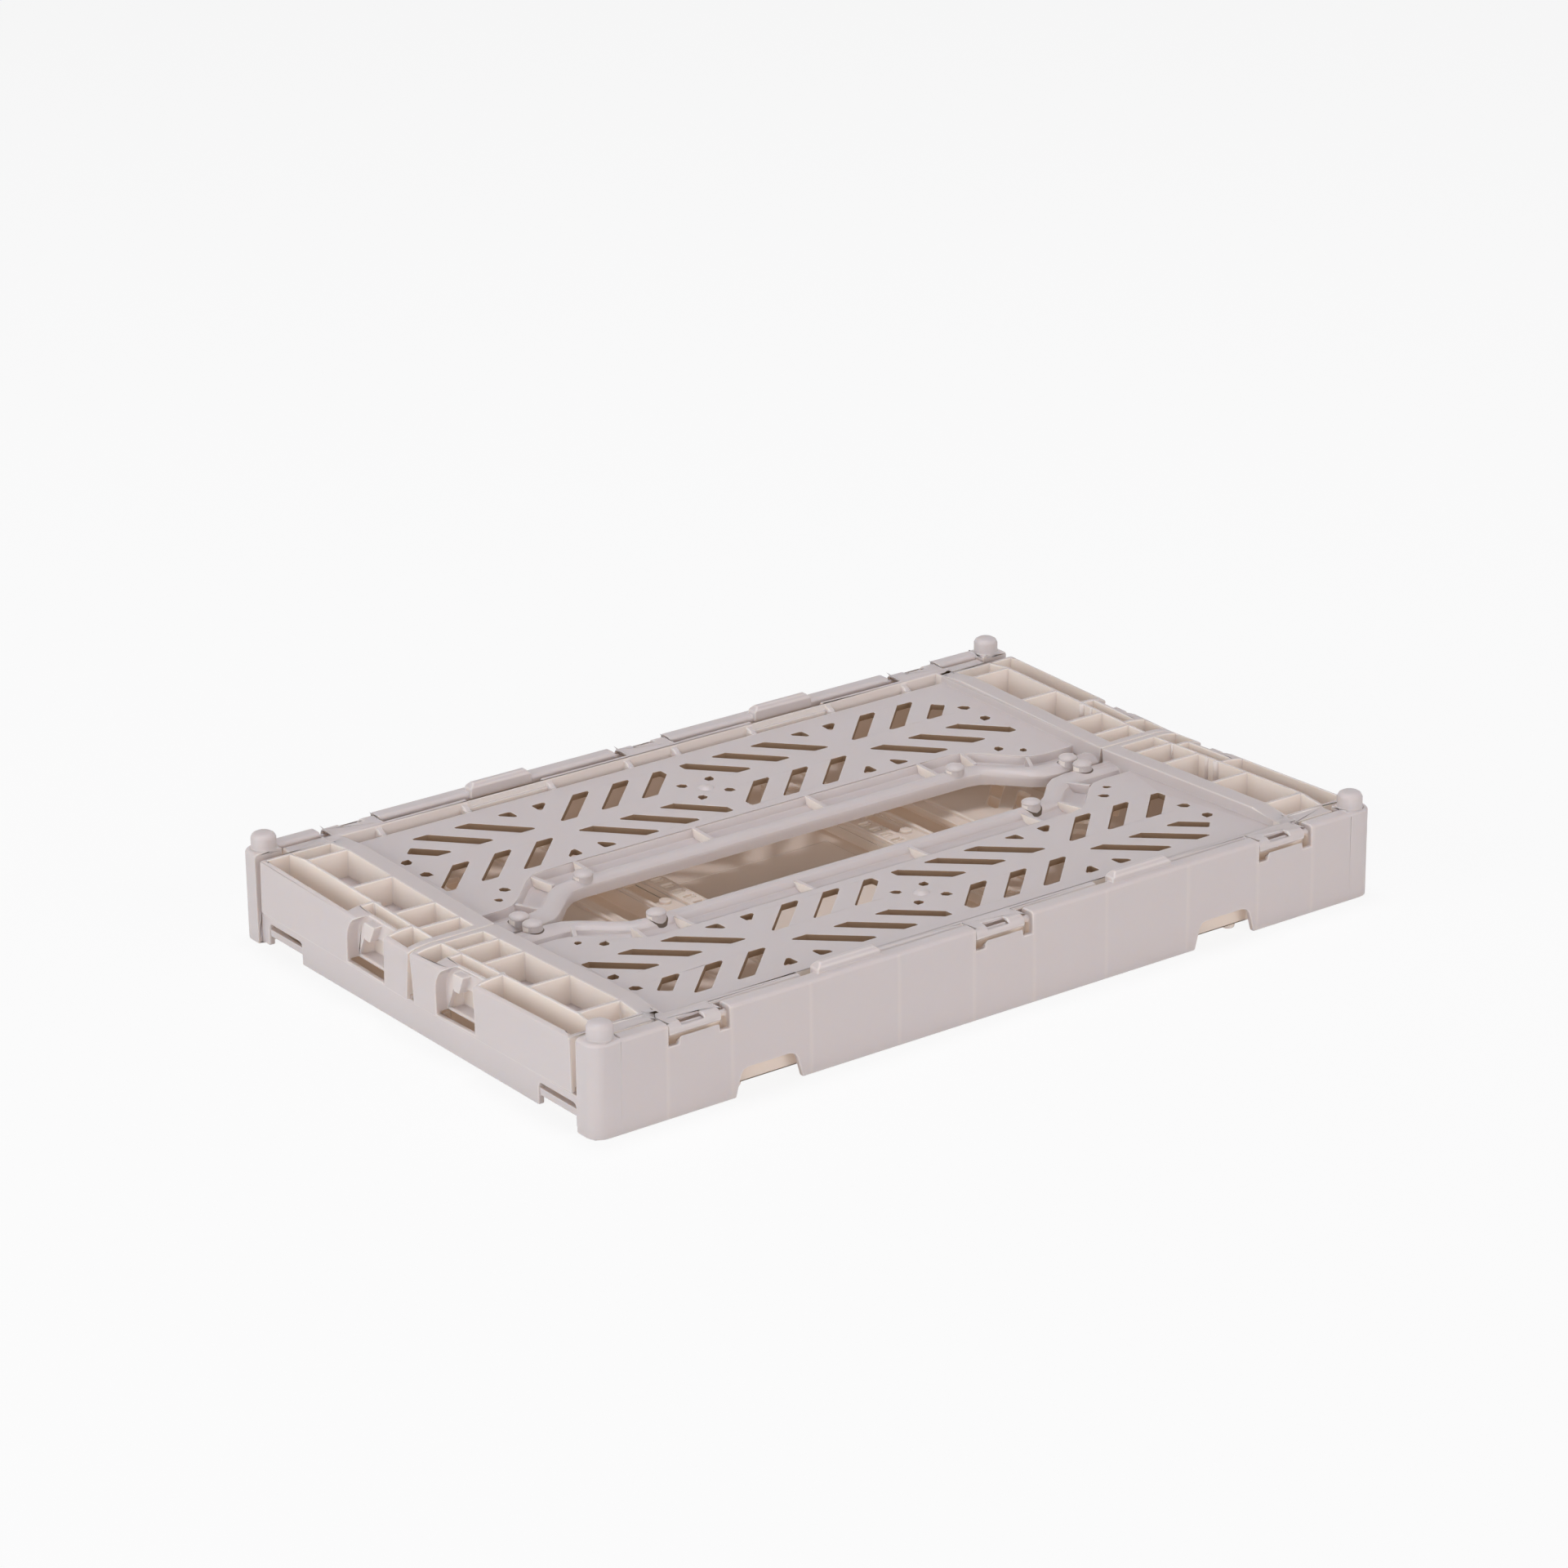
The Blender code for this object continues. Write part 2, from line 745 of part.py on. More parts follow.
def rail_section():
    # Points of (across, height) round the section, over the top first.
    shoulder = rail_top - rail_crown
    section = [(0, skirt_low), (0, shoulder)]
    for k in range(1, crown_points + 1):
        angle = math.pi * k / (crown_points + 1)
        section.append(((1 - math.cos(angle)) / 2, shoulder + rail_crown * math.sin(angle)))
    skin = rail_skin / ridge_width
    bank_share = 0.25
    ledge_share = 0.12
    tuck_share = 0.02
    inner_crown = rail_crown - rail_skin
    section += [(1, shoulder), (1 + bank_share / 2, valley_floor + inner_crown / 2),
                (1 + bank_share, valley_floor), (2 - bank_share, valley_floor),
                (2 - bank_share / 2, valley_floor + inner_crown / 2), (2 - tuck_share, plate_top - plate_step),
                (2 + ledge_share, plate_top - plate_step), (2 + ledge_share, plate_under + plate_step),
                (2, plate_under - plate_step), (2 - bank_share, valley_floor - rail_skin),
                (1 + bank_share / 2, valley_floor - rail_skin), (1 - skin / 2, valley_floor - rail_skin),
                (1 - skin, shoulder - inner_crown), (1 / 2, rail_top - rail_skin),
                (skin, shoulder - inner_crown), (skin, skirt_low)]
    return section


def rail():
    # Loft of the section along its track; each point of the section has its own line.
    section = rail_section()
    work = bmesh.new()
    rows = [[work.verts.new((x, y, z)) for x, y in rail_track(across)] for across, z in section]
    count = len(rows[0])
    for row, following in zip(rows, rows[1:] + rows[:1]):
        for k in range(count - 1):
            work.faces.new((row[k], row[k + 1], following[k + 1], following[k]))
    for k in (0, count - 1):
        work.faces.new([row[k] for row in rows])
    mesh = bpy.data.meshes.new("rail")
    work.to_mesh(mesh)
    work.free()
    return place_mesh(clean_mesh(mesh))


def slotted_plate():
    reach = step_reach + step_wall / 2
    start = trough_end + plate_step / 2
    edge = rail_track(2)
    edge = [(-reach, edge[0][1])] + edge[1:-1] + [(reach, edge[-1][1])]
    outline = [(-reach, start), (reach, start)] + list(reversed(edge))
    return sheet(outline, plate_under, plate_top, plate_holes())


def hinge_beam():
    # Raised flange along the hinge, the trough behind it and the wall under the plate.
    reach = strip_reach - bite
    under = beam_under
    top = lip_top - flush_step
    profile = [(flange_start, under), (flange_start, top - lip_round), (flange_start + lip_round, top),
               (trough_end, top), (trough_end, plate_top - plate_step),
               (trough_end + beam_wall, plate_top - plate_step), (trough_end + beam_wall, under)]
    beam = along_x(sheet(profile, -reach, reach))
    inner = step_reach - flush_step
    cutters = [block((-inner, inner), (trough_start, trough_end + bite), (plate_top, overrun))]
    stops = [-inner]
    stops += [-x for x in reversed(trough_post_reaches)] + list(trough_post_reaches)
    stops += [inner]
    for left, right in zip(stops, stops[1:]):
        start = trough_start
        if tongue_zone_start < abs(left + right) / 2 < tongue_zone_end:
            start = trough_start_at_tongue
        left_edge = left + (trough_post_thickness / 2 if left > -inner else 0)
        right_edge = right - (trough_post_thickness / 2 if right < inner else 0)
        cutters.append(block((left_edge, right_edge), (start, trough_end), (trough_floor, overrun)))
    for side in (-1, 1):
        cutters.append(block((side * tongue_zone_start, side * tongue_zone_end),
                             (flange_start - overrun, flange_start_at_tongue), (-overrun, overrun)))
    return carved(beam, cutters)


def trough_posts():
    # Ribs across the trough that go on above the plate, up to the flange.
    low = plate_top - plate_step
    ring = [(trough_start - bite, low), (trough_end - bite, low), (trough_end - bite, plate_top),
            (trough_end - lip_round - bite, plate_top + lip_round), (trough_start - bite, lip_top - lip_round)]
    half = trough_post_thickness / 2 - flush_step
    return [along_x(sheet(ring, side * x - half, side * x + half))
            for x in trough_post_reaches for side in (-1, 1)]


def flange_ends():
    # The flange goes on past the strips, up to the corner posts.
    top = lip_top - 2 * flush_step
    under = cell_floor - floor_skin + flush_step
    pieces = []
    for side in (-1, 1):
        pieces.append(block((side * (strip_reach - 2 * bite), side * flange_end_reach),
                            (flange_start + flush_step, column_start + rib_thickness / 2), (under, top)))
    return pieces


def latch_cutters(side):
    # The alcove for the latch in the outer skin, and the hole through its back.
    outer = half_length
    back = outer - latch_depth
    arch_end, open_end = (latch_start, latch_end) if side > 0 else (latch_end, latch_start)
    way = 1 if side > 0 else -1
    arch_foot = frame_top - latch_arch
    ring = [(arch_end, latch_ledge)]
    for k in range(arch_steps + 1):
        angle = math.pi / 2 * k / arch_steps
        ring.append((arch_end + way * latch_arch * (1 - math.cos(angle)),
                     arch_foot + latch_arch * math.sin(angle)))
    ring += [(arch_end + way * latch_arch, overrun), (open_end, overrun), (open_end, latch_ledge)]
    alcove = along_x(sheet(ring, back, outer + overrun))
    low = latch_ledge + floor_skin
    hole = [(arch_end + way * bite, low), (arch_end + way * latch_hole_slant, low + latch_hole_rise),
            (open_end - way * bite, low + latch_hole_rise), (open_end - way * bite, low)]
    window = along_x(sheet(hole, back - latch_back - bite, back + bite))
    cutters = [alcove, window]
    if side < 0:
        cutters = [flipped(cutter, -1) for cutter in cutters]
    return cutters


def latch_tongue(side):
    arch_end = latch_start if side > 0 else latch_end
    way = 1 if side > 0 else -1
    back = half_length - latch_depth
    ring = [(arch_end + way * latch_tongue_start, latch_tongue_top),
            (arch_end + way * latch_tongue_end, latch_tongue_top),
            (arch_end + way * (latch_tongue_start + latch_tongue_end) / 2, latch_tongue_low),
            (arch_end + way * latch_tongue_start, latch_tongue_low)]
    tongue = along_x(sheet(ring, back - bite, back + latch_tongue_proud))
    return flipped(tongue, -1) if side < 0 else tongue


def end_column(side):
    # Stepped end of the panel that becomes a corner of the standing crate.
    outer_top = []
    for k in range(arch_steps + 1):
        angle = math.pi / 2 * k / arch_steps
        outer_top.append((pocket_start_reach + pocket_inset * math.sin(angle),
                          frame_top - end_round_drop * (1 - math.cos(angle))))
    profile = [(step_reach, frame_top)] + outer_top + [(half_length, column_under),
               (pocket_end_reach, column_under), (pocket_end_reach, pocket_floor - floor_skin),
               (cell_wall_reach, pocket_floor - floor_skin), (cell_wall_reach, cell_floor - floor_skin),
               (strip_reach - strip_skin, cell_floor - floor_skin), (strip_reach - strip_skin, frame_top - strip_skin),
               (step_reach + step_wall, frame_top - strip_skin), (step_reach + step_wall, step_under),
               (step_reach, step_under)]
    column = along_y(sheet(profile, column_start, seam_reach))
    for vert in column.data.vertices:
        at_seam = vert.co.y > (column_start + seam_reach) / 2
        if at_seam:
            vert.co.y -= seam_taper * (frame_top - vert.co.z) / (frame_top - column_under)
        if at_seam and vert.co.z < cell_floor - floor_skin - bite:
            vert.co.z += column_under_rise
    wall = rib_thickness
    stops = [column_start + wall / 2, *column_rib_places, seam_reach - seam_taper - wall / 2]
    cutters = []
    for low, high in zip(stops, stops[1:]):
        cutters.append(block((strip_reach, cell_wall_reach), (low + wall / 2, high - wall / 2),
                             (cell_floor, overrun)))
    back = half_length - latch_depth - latch_back
    pockets = [(stops[0] + wall / 2, latch_start - wall, pocket_end_reach),
               (latch_start, latch_end, back),
               (latch_end + wall, stops[-1] - wall / 2, pocket_end_reach)]
    for low, high, reach in pockets:
        cutters.append(block((pocket_start_reach, reach), (low, high), (pocket_floor, overrun)))
    grade = (frame_top - lip_top) / (slope_start - column_start)
    slope = [(slope_start + bite, frame_top + bite * grade), (column_start - bite, lip_top - bite * grade),
             (column_start - bite, overrun), (slope_start + bite, overrun)]
    cutters.append(along_x(sheet(slope, step_reach - overrun, half_length + overrun)))
    column = carved(column, cutters)
    if side < 0:
        column = flipped(column, -1)
    return column


def hinge_strap(x):
    # Hook that wraps the bar from inside over the top and down its outer side.
    outer = strap_reach
    inner = strap_reach - strap_thickness
    arc = [math.radians(90 * k / strap_steps) for k in range(strap_steps + 1)]
    corner = [(-outer * math.cos(a), outer * math.sin(a)) for a in arc]
    hollow = [(-inner * math.cos(a), inner * math.sin(a)) for a in arc]
    root = trough_start - bite
    profile = [(-outer, -strap_hook_low + bite)] + corner + [(root, lip_top - bite / 5)]
    profile += [(root, inner)] + list(reversed(hollow)) + [(-inner, -strap_hook_low), (-outer + bite, -strap_hook_low)]
    middle = x - strap_shift
    strap = along_x(sheet(profile, middle - strap_half_width, middle + strap_half_width))
    shift = middle - window_shift
    window = block((shift - window_half_width, shift + window_half_width), (-window_out, window_in),
                   (inner - bite, overrun))
    return carved(strap, [window])


def gusset(start, end, low, high):
    line = Vector(end) - Vector(start)
    across = Vector((-line.y, line.x)).normalized() * gusset_thickness / 2
    ring = [Vector(start) - across, Vector(end) - across, Vector(end) + across, Vector(start) + across]
    return sheet([(p.x, middle_out - p.y) for p in ring], low, high)


def rail_gussets():
    ridge_in = opening_half_width + ridge_width - rail_skin
    plate_in = opening_half_width + ridge_width + valley_width + rail_skin / 2
    slant = opening_half_length + opening_half_width
    slant_foot = slant + math.sqrt(2) * slant_ridge_width
    slant_edge = slant_foot + math.sqrt(2) * slant_valley_width
    close_in = seam_gap + end_ridge_width - rail_skin
    close_out = seam_gap + end_ridge_width + end_valley_width + rail_skin
    lines = [((x, ridge_in), (x, plate_in)) for x in gusset_reaches]
    lines.append(((slant_foot - ridge_in - rail_skin, ridge_in), (slant_edge - plate_in + rail_skin, plate_in)))
    lines.append(((slant_foot - close_in - rail_skin, close_in), (slant_edge - close_out, close_out)))
    pieces = []
    low = valley_floor - rail_skin / 2
    high = plate_top - gusset_drop
    for side in (-1, 1):
        for start, end in lines:
            pieces.append(gusset((side * start[0], start[1]), (side * end[0], end[1]), low, high))
    return pieces


def stud(x, out, height):
    top = rail_top + height
    low = rail_top - rail_crown + bite / 2
    profile = [(0, top), (stud_radius - stud_edge, top), (stud_radius, top - stud_edge),
               (stud_radius, low), (0, low)]
    return turned(profile, (x, middle_out - out, 0), stud_sides)


def plate_boss():
    rise = boss_height + plate_thickness / 2
    low = plate_top - plate_thickness / 2
    profile = [(boss_radius * math.cos(a), low + rise * math.sin(a))
               for a in (math.radians(90 - 30 * k) for k in range(4))]
    profile[0] = (0, low + rise)
    profile.append((0, low))
    return turned(profile, (0, star_line, 0), stud_sides)


def side_panel():
    pieces = [slotted_plate(), rail(), hinge_beam(), plate_boss()] + flange_ends() + trough_posts()
    pieces += [end_column(side) for side in (-1, 1)]
    pieces += [hinge_strap(x) for x in hinge_places()]
    pieces += rail_gussets()
    for side in (-1, 1):
        pieces.append(stud(side * mid_stud_reach, mid_stud_out, mid_stud_height))
        pieces.append(stud(side * end_stud_reach, end_stud_out, end_stud_height))
    body = united(pieces)
    body = carved(body, latch_cutters(-1) + latch_cutters(1))
    return united([body, latch_tongue(-1), latch_tongue(1)])


# End panel, drawn in its own frame: x along its hinge, y away from the hinge axis

def end_slots():
    # Two stars like those of the side panels, cut off before the edges of the panel.
    rings = []
    for side in (-1, 1):
        for way_x, limit in ((-1, end_star_reach - end_margin / 2),
                             (1, end_half_width - end_star_reach - end_margin)):
            for k in range(end_slots_per_quarter):
                near = end_slot_start + k * end_slot_pitch
                far = near + end_row_far - end_row_near
                if near + end_slot_width > limit:
                    continue
                ring = rounded(clipped([(near, end_row_near), (near + end_slot_width, end_row_near),
                                        (far + end_slot_width, end_row_far), (far, end_row_far)], limit),
                               slot_round, 2)
                for way_y in (-1, 1):
                    rings.append([(side * (end_star_reach + way_x * x), end_star_middle + way_y * y)
                                  for x, y in ring])
    return rings


def end_panel_skin():
    hand_hole = rounded(rectangle(-hand_hole_half_width, hand_hole_half_width, hand_hole_start, hand_hole_end),
                        hand_hole_round)
    holes = end_slots() + [hand_hole]
    for side in (-1, 1):
        near, far = sorted((side * channel_hole_start, side * channel_hole_end))
        holes.append(rectangle(near, far, channel_start + flush_step, end_reach - rim_length - flush_step))
    return sheet(rectangle(-end_half_width, end_half_width, end_start, end_reach), end_face - end_skin,
                 end_face, holes)


def end_panel_ribs():
    # Border and cross ribs on the inner side, drawn as one grid.
    wall = end_wall_skin
    step = flush_step
    edge = end_half_width - step
    lines = [end_start + step, *end_rib_places, rim_bar_start, hand_hole_end, end_reach - rim_length]
    holes = []
    for near, far in zip(lines, lines[1:]):
        holes.append(rectangle(-edge + wall, edge - wall, near + wall, far))
    return sheet(rectangle(-edge, edge, lines[0], end_reach - step), end_under, end_face - end_skin + bite, holes)


def comb_rim():
    edge = end_half_width - 2 * flush_step
    rim = block((-edge, edge), (end_reach - rim_length + flush_step, end_reach - 2 * flush_step),
                (end_face - end_skin / 2, rim_top))
    grooves = []
    for k in range(0, int(2 * comb_half_width / comb_pitch), 2):
        x = -comb_half_width + k * comb_pitch
        grooves.append(block((x, x + comb_pitch), (end_reach - rim_length + comb_margin, end_reach - comb_margin),
                             (rim_top - comb_depth, rim_top + overrun)))
    return carved(rim, grooves)


def end_knuckles():
    pieces = []
    half = knuckle_half_width
    for x in knuckle_places:
        reach = half + end_pin_overhang
        pieces.append(rod((x - half, 0, 0), (x + half, 0, 0), knuckle_radius, bar_sides))
        pieces.append(rod((x - reach, 0, 0), (x + reach, 0, 0), end_pin_radius, bar_sides))
        pieces.append(block((x - half + bite, x + half - bite), (0, end_start + end_wall_skin / 2),
                            (end_under + bite, end_under + knuckle_arm)))
    return pieces


def end_panel():
    pieces = [end_panel_skin(), end_panel_ribs(), comb_rim()]
    step = flush_step
    edge = end_half_width
    for y in (rim_bar_start, hand_hole_end):
        pieces.append(block((-edge + end_wall_skin, edge - end_wall_skin), (y + step, y + end_wall_skin - step),
                            (end_face - bite, rim_top - step)))
    for side in (-1, 1):
        pieces.append(block((side * (edge - end_wall_skin / 2), side * (edge + hook_reach)),
                            (hook_start, hook_start + hook_length), (end_under + bite, end_under + hook_thickness)))
        middle = (channel_start + end_reach - rim_length) / 2
        profile = [(0, rim_top - step), (channel_peg_radius, rim_top - step),
                   (channel_peg_radius, end_face - end_skin / 2), (0, end_face - end_skin / 2)]
        pieces.append(turned(profile, (side * channel_peg_reach, middle, 0), bar_sides))
    return united(pieces + end_knuckles())


def plastic(name, colour, roughness):
    material = bpy.data.materials.new(name)
    material.use_nodes = True
    shader = material.node_tree.nodes["Principled BSDF"]
    shader.inputs["Base Color"].default_value = (*colour, 1)
    shader.inputs["Roughness"].default_value = roughness
    shader.inputs["Metallic"].default_value = 0
    return material


def stand(name, shape, place, turn, colour, roughness):
    obj = bpy.data.objects.new(name, clean_mesh(shape.data, joining=True))
    crate.objects.link(obj)
    obj.location = place
    obj.rotation_euler = turn
    obj.data.materials.clear()
    obj.data.materials.append(plastic(name, colour, roughness))
    return obj


greige_share = (0.60, 0.53, 0.50)
inner_greige_share = (0.56, 0.50, 0.46)
half_circle = math.pi
side_shape = side_panel()
end_shape = end_panel()
tray_shape = base_tray()
stand("base_tray", tray_shape, (0, 0, 0), (0, 0, 0), greige_share, 0.42)
for node, side, turn in (("side_panel_front", -1, 0), ("side_panel_rear", 1, half_circle)):
    panel = place_mesh(side_shape.data.copy())
    stand(node, panel, (0, side * hinge_reach_y, hinge_height), (-side_tilt, 0, turn), greige_share, 0.40)
for node, side in (("end_panel_left", -1), ("end_panel_right", 1)):
    panel = place_mesh(end_shape.data.copy())
    stand(node, panel, (side * end_hinge_reach, 0, end_hinge_height), (0, 0, side * half_circle / 2),
          inner_greige_share, 0.45)
for spare in list(bench.objects):
    bpy.data.objects.remove(spare)
bpy.data.collections.remove(bench)
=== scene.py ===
import math

import bmesh
import bpy
from mathutils import Euler, Matrix, Vector


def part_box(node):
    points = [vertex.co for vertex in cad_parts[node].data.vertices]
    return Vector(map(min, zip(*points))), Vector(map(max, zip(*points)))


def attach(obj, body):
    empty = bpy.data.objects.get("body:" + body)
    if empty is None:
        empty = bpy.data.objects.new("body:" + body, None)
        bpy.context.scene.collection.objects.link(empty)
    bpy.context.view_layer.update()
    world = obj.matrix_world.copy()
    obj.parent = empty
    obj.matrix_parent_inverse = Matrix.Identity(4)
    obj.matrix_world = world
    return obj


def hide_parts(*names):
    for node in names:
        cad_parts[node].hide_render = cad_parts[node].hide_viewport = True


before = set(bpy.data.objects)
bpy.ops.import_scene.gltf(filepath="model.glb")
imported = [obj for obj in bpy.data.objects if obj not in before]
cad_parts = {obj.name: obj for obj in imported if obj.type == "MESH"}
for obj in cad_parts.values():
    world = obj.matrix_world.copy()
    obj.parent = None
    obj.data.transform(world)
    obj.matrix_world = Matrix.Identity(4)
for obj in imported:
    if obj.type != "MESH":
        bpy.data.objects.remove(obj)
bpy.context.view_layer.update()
print("frame loaded,", len(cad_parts), "nodes")

for extra in list(bpy.data.lights):
    bpy.data.lights.remove(extra)


class Wire:
    # One socket of a tree. Sums and products of wires add Math nodes.
    def __init__(self, tree, socket):
        self.tree = tree
        self.socket = socket

    def maths(self, operation, *values):
        return addNode(self.tree, "ShaderNodeMath", {"operation": operation}, *values)

    def __add__(self, other):
        return self.maths("ADD", self, other)

    def __radd__(self, other):
        return self.maths("ADD", other, self)

    def __sub__(self, other):
        return self.maths("SUBTRACT", self, other)

    def __rsub__(self, other):
        return self.maths("SUBTRACT", other, self)

    def __mul__(self, other):
        return self.maths("MULTIPLY", self, other)

    def __rmul__(self, other):
        return self.maths("MULTIPLY", other, self)

    def __truediv__(self, other):
        return self.maths("DIVIDE", self, other)

    def __rtruediv__(self, other):
        return self.maths("DIVIDE", other, self)

    def __gt__(self, other):
        return self.maths("GREATER_THAN", self, other)

    def __lt__(self, other):
        return self.maths("LESS_THAN", self, other)

    def __abs__(self):
        return self.maths("ABSOLUTE", self)

    def root(self):
        return self.maths("SQRT", self)

    def larger(self, other):
        return self.maths("MAXIMUM", self, other)


def addNode(tree, kind, settings=None, *values, output=0, **named):
    # Any node: its settings first, then the values or wires of its sockets.
    node = tree.nodes.new(kind)
    for key, value in (settings or {}).items():
        if key == "stops":
            setStops(node.color_ramp, value)
        else:
            setattr(node, key, value)
    places = list(enumerate(values))
    places += [(key.replace("_", " "), value) for key, value in named.items()]
    for place, value in places:
        if value is None:
            continue
        socket = node.inputs[place]
        if isinstance(value, Wire):
            tree.links.new(value.socket, socket)
        else:
            socket.default_value = value
    return Wire(tree, node.outputs[output]) if node.outputs else node


def setStops(ramp, stops):
    while len(ramp.elements) > 1:
        ramp.elements.remove(ramp.elements[-1])
    for i, (place, value) in enumerate(stops):
        element = ramp.elements[0] if i == 0 else ramp.elements.new(place)
        element.position = place
        element.color = (value, value, value, 1)


cameraSettings = {
    "lens": 116.765, "sensor": 36.0,
    "azimuth": 36.573, "elevation": 21.372, "roll": -0.602,
    "distance": 1.422577, "aside": -0.007652, "above": 0.036449,
    "nearest": 0.05, "farthest": 50.0,
}
lightSettings = {
    "horizonStrength": 0.05, "zenithStrength": 0.125, "worldColour": (0.96, 0.97, 1.0, 1.0),
    "lamps": (
        # name, place, aim, size, power, colour
        ("lampLeft", (-1.6, 0.3, 0.45), (0, 0, 0.02), 0.9, 12.3, (0.97, 1.0, 1.0)),
        ("lampCorner", (-1.2, -1.2, 0.4), (0, 0, 0.02), 0.9, 10.0, (1.0, 0.985, 0.98)),
        ("lampFront", (0.5, -1.6, 0.5), (0, 0, 0.02), 1.0, 11.5, (1.0, 0.975, 0.96)),
        ("lampTop", (0.1, 0.2, 1.6), (0, 0, 0.02), 0.6, 11.8, (0.985, 0.965, 1.0)),
    ),
}
floorSettings = {"size": 12.0, "colour": (0.86, 0.86, 0.86, 1.0), "shadowShare": 0.12}
pureWhite = (1.0, 1.0, 1.0, 1.0)


def makeCamera(s):
    turn, lift, roll = (math.radians(s[key]) for key in ("azimuth", "elevation", "roll"))
    back = Vector((-math.sin(turn) * math.cos(lift), -math.cos(turn) * math.cos(lift),
                   math.sin(lift)))
    right = (-back).cross(Vector((0, 0, 1))).normalized()
    up = right.cross(-back)
    right, up = (math.cos(roll) * right + math.sin(roll) * up,
                 math.cos(roll) * up - math.sin(roll) * right)
    place = right * s["aside"] + up * s["above"] + back * s["distance"]
    data = bpy.data.cameras.new("photoCamera")
    data.lens = s["lens"]
    data.sensor_width = s["sensor"]
    data.clip_start, data.clip_end = s["nearest"], s["farthest"]
    camera = bpy.data.objects.new("photoCamera", data)
    facing = Matrix((right, up, back)).transposed().to_4x4()
    camera.matrix_world = Matrix.Translation(place) @ facing
    bpy.context.scene.collection.objects.link(camera)
    bpy.context.scene.camera = camera


def seenRay(tree):
    # 1 for the rays that show the background: seen directly, mirrored or through glass.
    path = tree.nodes.new("ShaderNodeLightPath")
    camera, glossy, clear = (Wire(tree, path.outputs[name])
                             for name in ("Is Camera Ray", "Is Glossy Ray", "Is Transmission Ray"))
    return camera.larger(glossy.larger(clear))


def makeWorld(s):
    world = bpy.data.worlds.new("studio")
    bpy.context.scene.world = world
    world.use_nodes = True
    tree = world.node_tree
    tree.nodes.clear()
    shown = seenRay(tree)
    way = addNode(tree, "ShaderNodeTexCoord", None, output=0)
    lift = addNode(tree, "ShaderNodeSeparateXYZ", None, way, output=2)
    strength = s["horizonStrength"] + lift.larger(0.0) * (s["zenithStrength"] - s["horizonStrength"])
    lit = addNode(tree, "ShaderNodeBackground", None, s["worldColour"], strength)
    white = addNode(tree, "ShaderNodeBackground", None, pureWhite, 1.0)
    mixed = addNode(tree, "ShaderNodeMixShader", None, shown, lit, white)
    addNode(tree, "ShaderNodeOutputWorld", None, mixed)


def makeLamps(s):
    for name, place, aim, size, power, shade in s["lamps"]:
        data = bpy.data.lights.new(name, "AREA")
        data.color = shade
        data.size = size
        data.energy = power
        lamp = bpy.data.objects.new(name, data)
        lamp.location = place
        lamp.rotation_euler = (Vector(place) - Vector(aim)).to_track_quat("Z", "Y").to_euler()
        lamp.visible_camera = False
        bpy.context.scene.collection.objects.link(lamp)


def makeFloor(s):
    mesh = bpy.data.meshes.new("studioFloor")
    half = s["size"] / 2
    corners = [(-half, -half, 0), (half, -half, 0), (half, half, 0), (-half, half, 0)]
    mesh.from_pydata(corners, [], [(0, 1, 2, 3)])
    floor = bpy.data.objects.new("studioFloor", mesh)
    bpy.context.scene.collection.objects.link(floor)
    material = bpy.data.materials.new("paleFloor")
    material.use_nodes = True
    tree = material.node_tree
    tree.nodes.clear()
    matte = addNode(tree, "ShaderNodeBsdfDiffuse", None, s["colour"])
    white = addNode(tree, "ShaderNodeEmission", None, pureWhite, 1.0)
    shown = seenRay(tree)
    mixed = addNode(tree, "ShaderNodeMixShader", None, shown * (1 - s["shadowShare"]), matte, white)
    addNode(tree, "ShaderNodeOutputMaterial", None, mixed)
    mesh.materials.append(material)


makeCamera(cameraSettings)
makeWorld(lightSettings)
makeLamps(lightSettings)
makeFloor(floorSettings)
bpy.context.scene.view_settings.view_transform = "Standard"
print("camera, light and floor are set")


plasticSettings = {
    "colour": (0.560, 0.517, 0.526), "warmTint": (0.566, 0.502, 0.480),
    # edgeHighlightTint with edgeShare: a painted highlight, a lighter colour on the bevel faces of
    # the edges
    "edgeHighlightTint": (0.660, 0.612, 0.600), "edgeShare": 0.50,
    "shadeTint": (0.230, 0.155, 0.100), "paintedInsideBounce": (0.640, 0.555, 0.490),
    "paintedGlowTint": (0.725, 0.655, 0.605), "paintedGlowShare": 0.70, "holeShadeTint": (0.050, 0.026, 0.012),
    "roughness": 0.46, "roughnessSpread": 0.07, "edgePolish": 0.05, "recessDull": 0.2,
    "cloudScale": 22.0, "cloudDetail": 2.0, "cloudShare": 0.30,
    "grainScale": 2400.0, "grainDetail": 2.0, "grainHeight": 0.000010,
    "rippleScale": 120.0, "rippleDetail": 1.0, "rippleHeight": 0.000022,
    "speckScale": 95.0, "speckSize": 0.014, "speckRarity": 0.90, "speckTint": (0.33, 0.26, 0.21),
    "glow": 0.40, "glowRadius": (1.0, 0.70, 0.48), "glowDepth": 0.0030,
    # Painted glow, as emission, for the light that comes through the thin walls: in the cells, and
    # under the panels; deepLight gives every face a faint warm glow
    "paintedGlowLight": (0.64, 0.56, 0.49), "paintedGlowFoot": 0.0110, "paintedGlowRise": 0.0130,
    "innerLight": (0.50, 0.370, 0.275), "deepLight": (0.095, 0.052, 0.024),
    "lightStrength": 0.21,
}
wallMarkSettings = {
    "places": (0.0102, 0.0355, 0.0645, 0.0898, 0.1102), "halfWidth": 0.0009, "span": 0.133,
    "depth": 0.00006, "tintShare": 0.5, "wallReach": 0.0852, "tint": (0.64, 0.58, 0.555),
}
insideSettings = {"reachX": 0.1295, "reachY": 0.0846, "top": 0.0245, "blur": 0.0010, "share": 0.85}
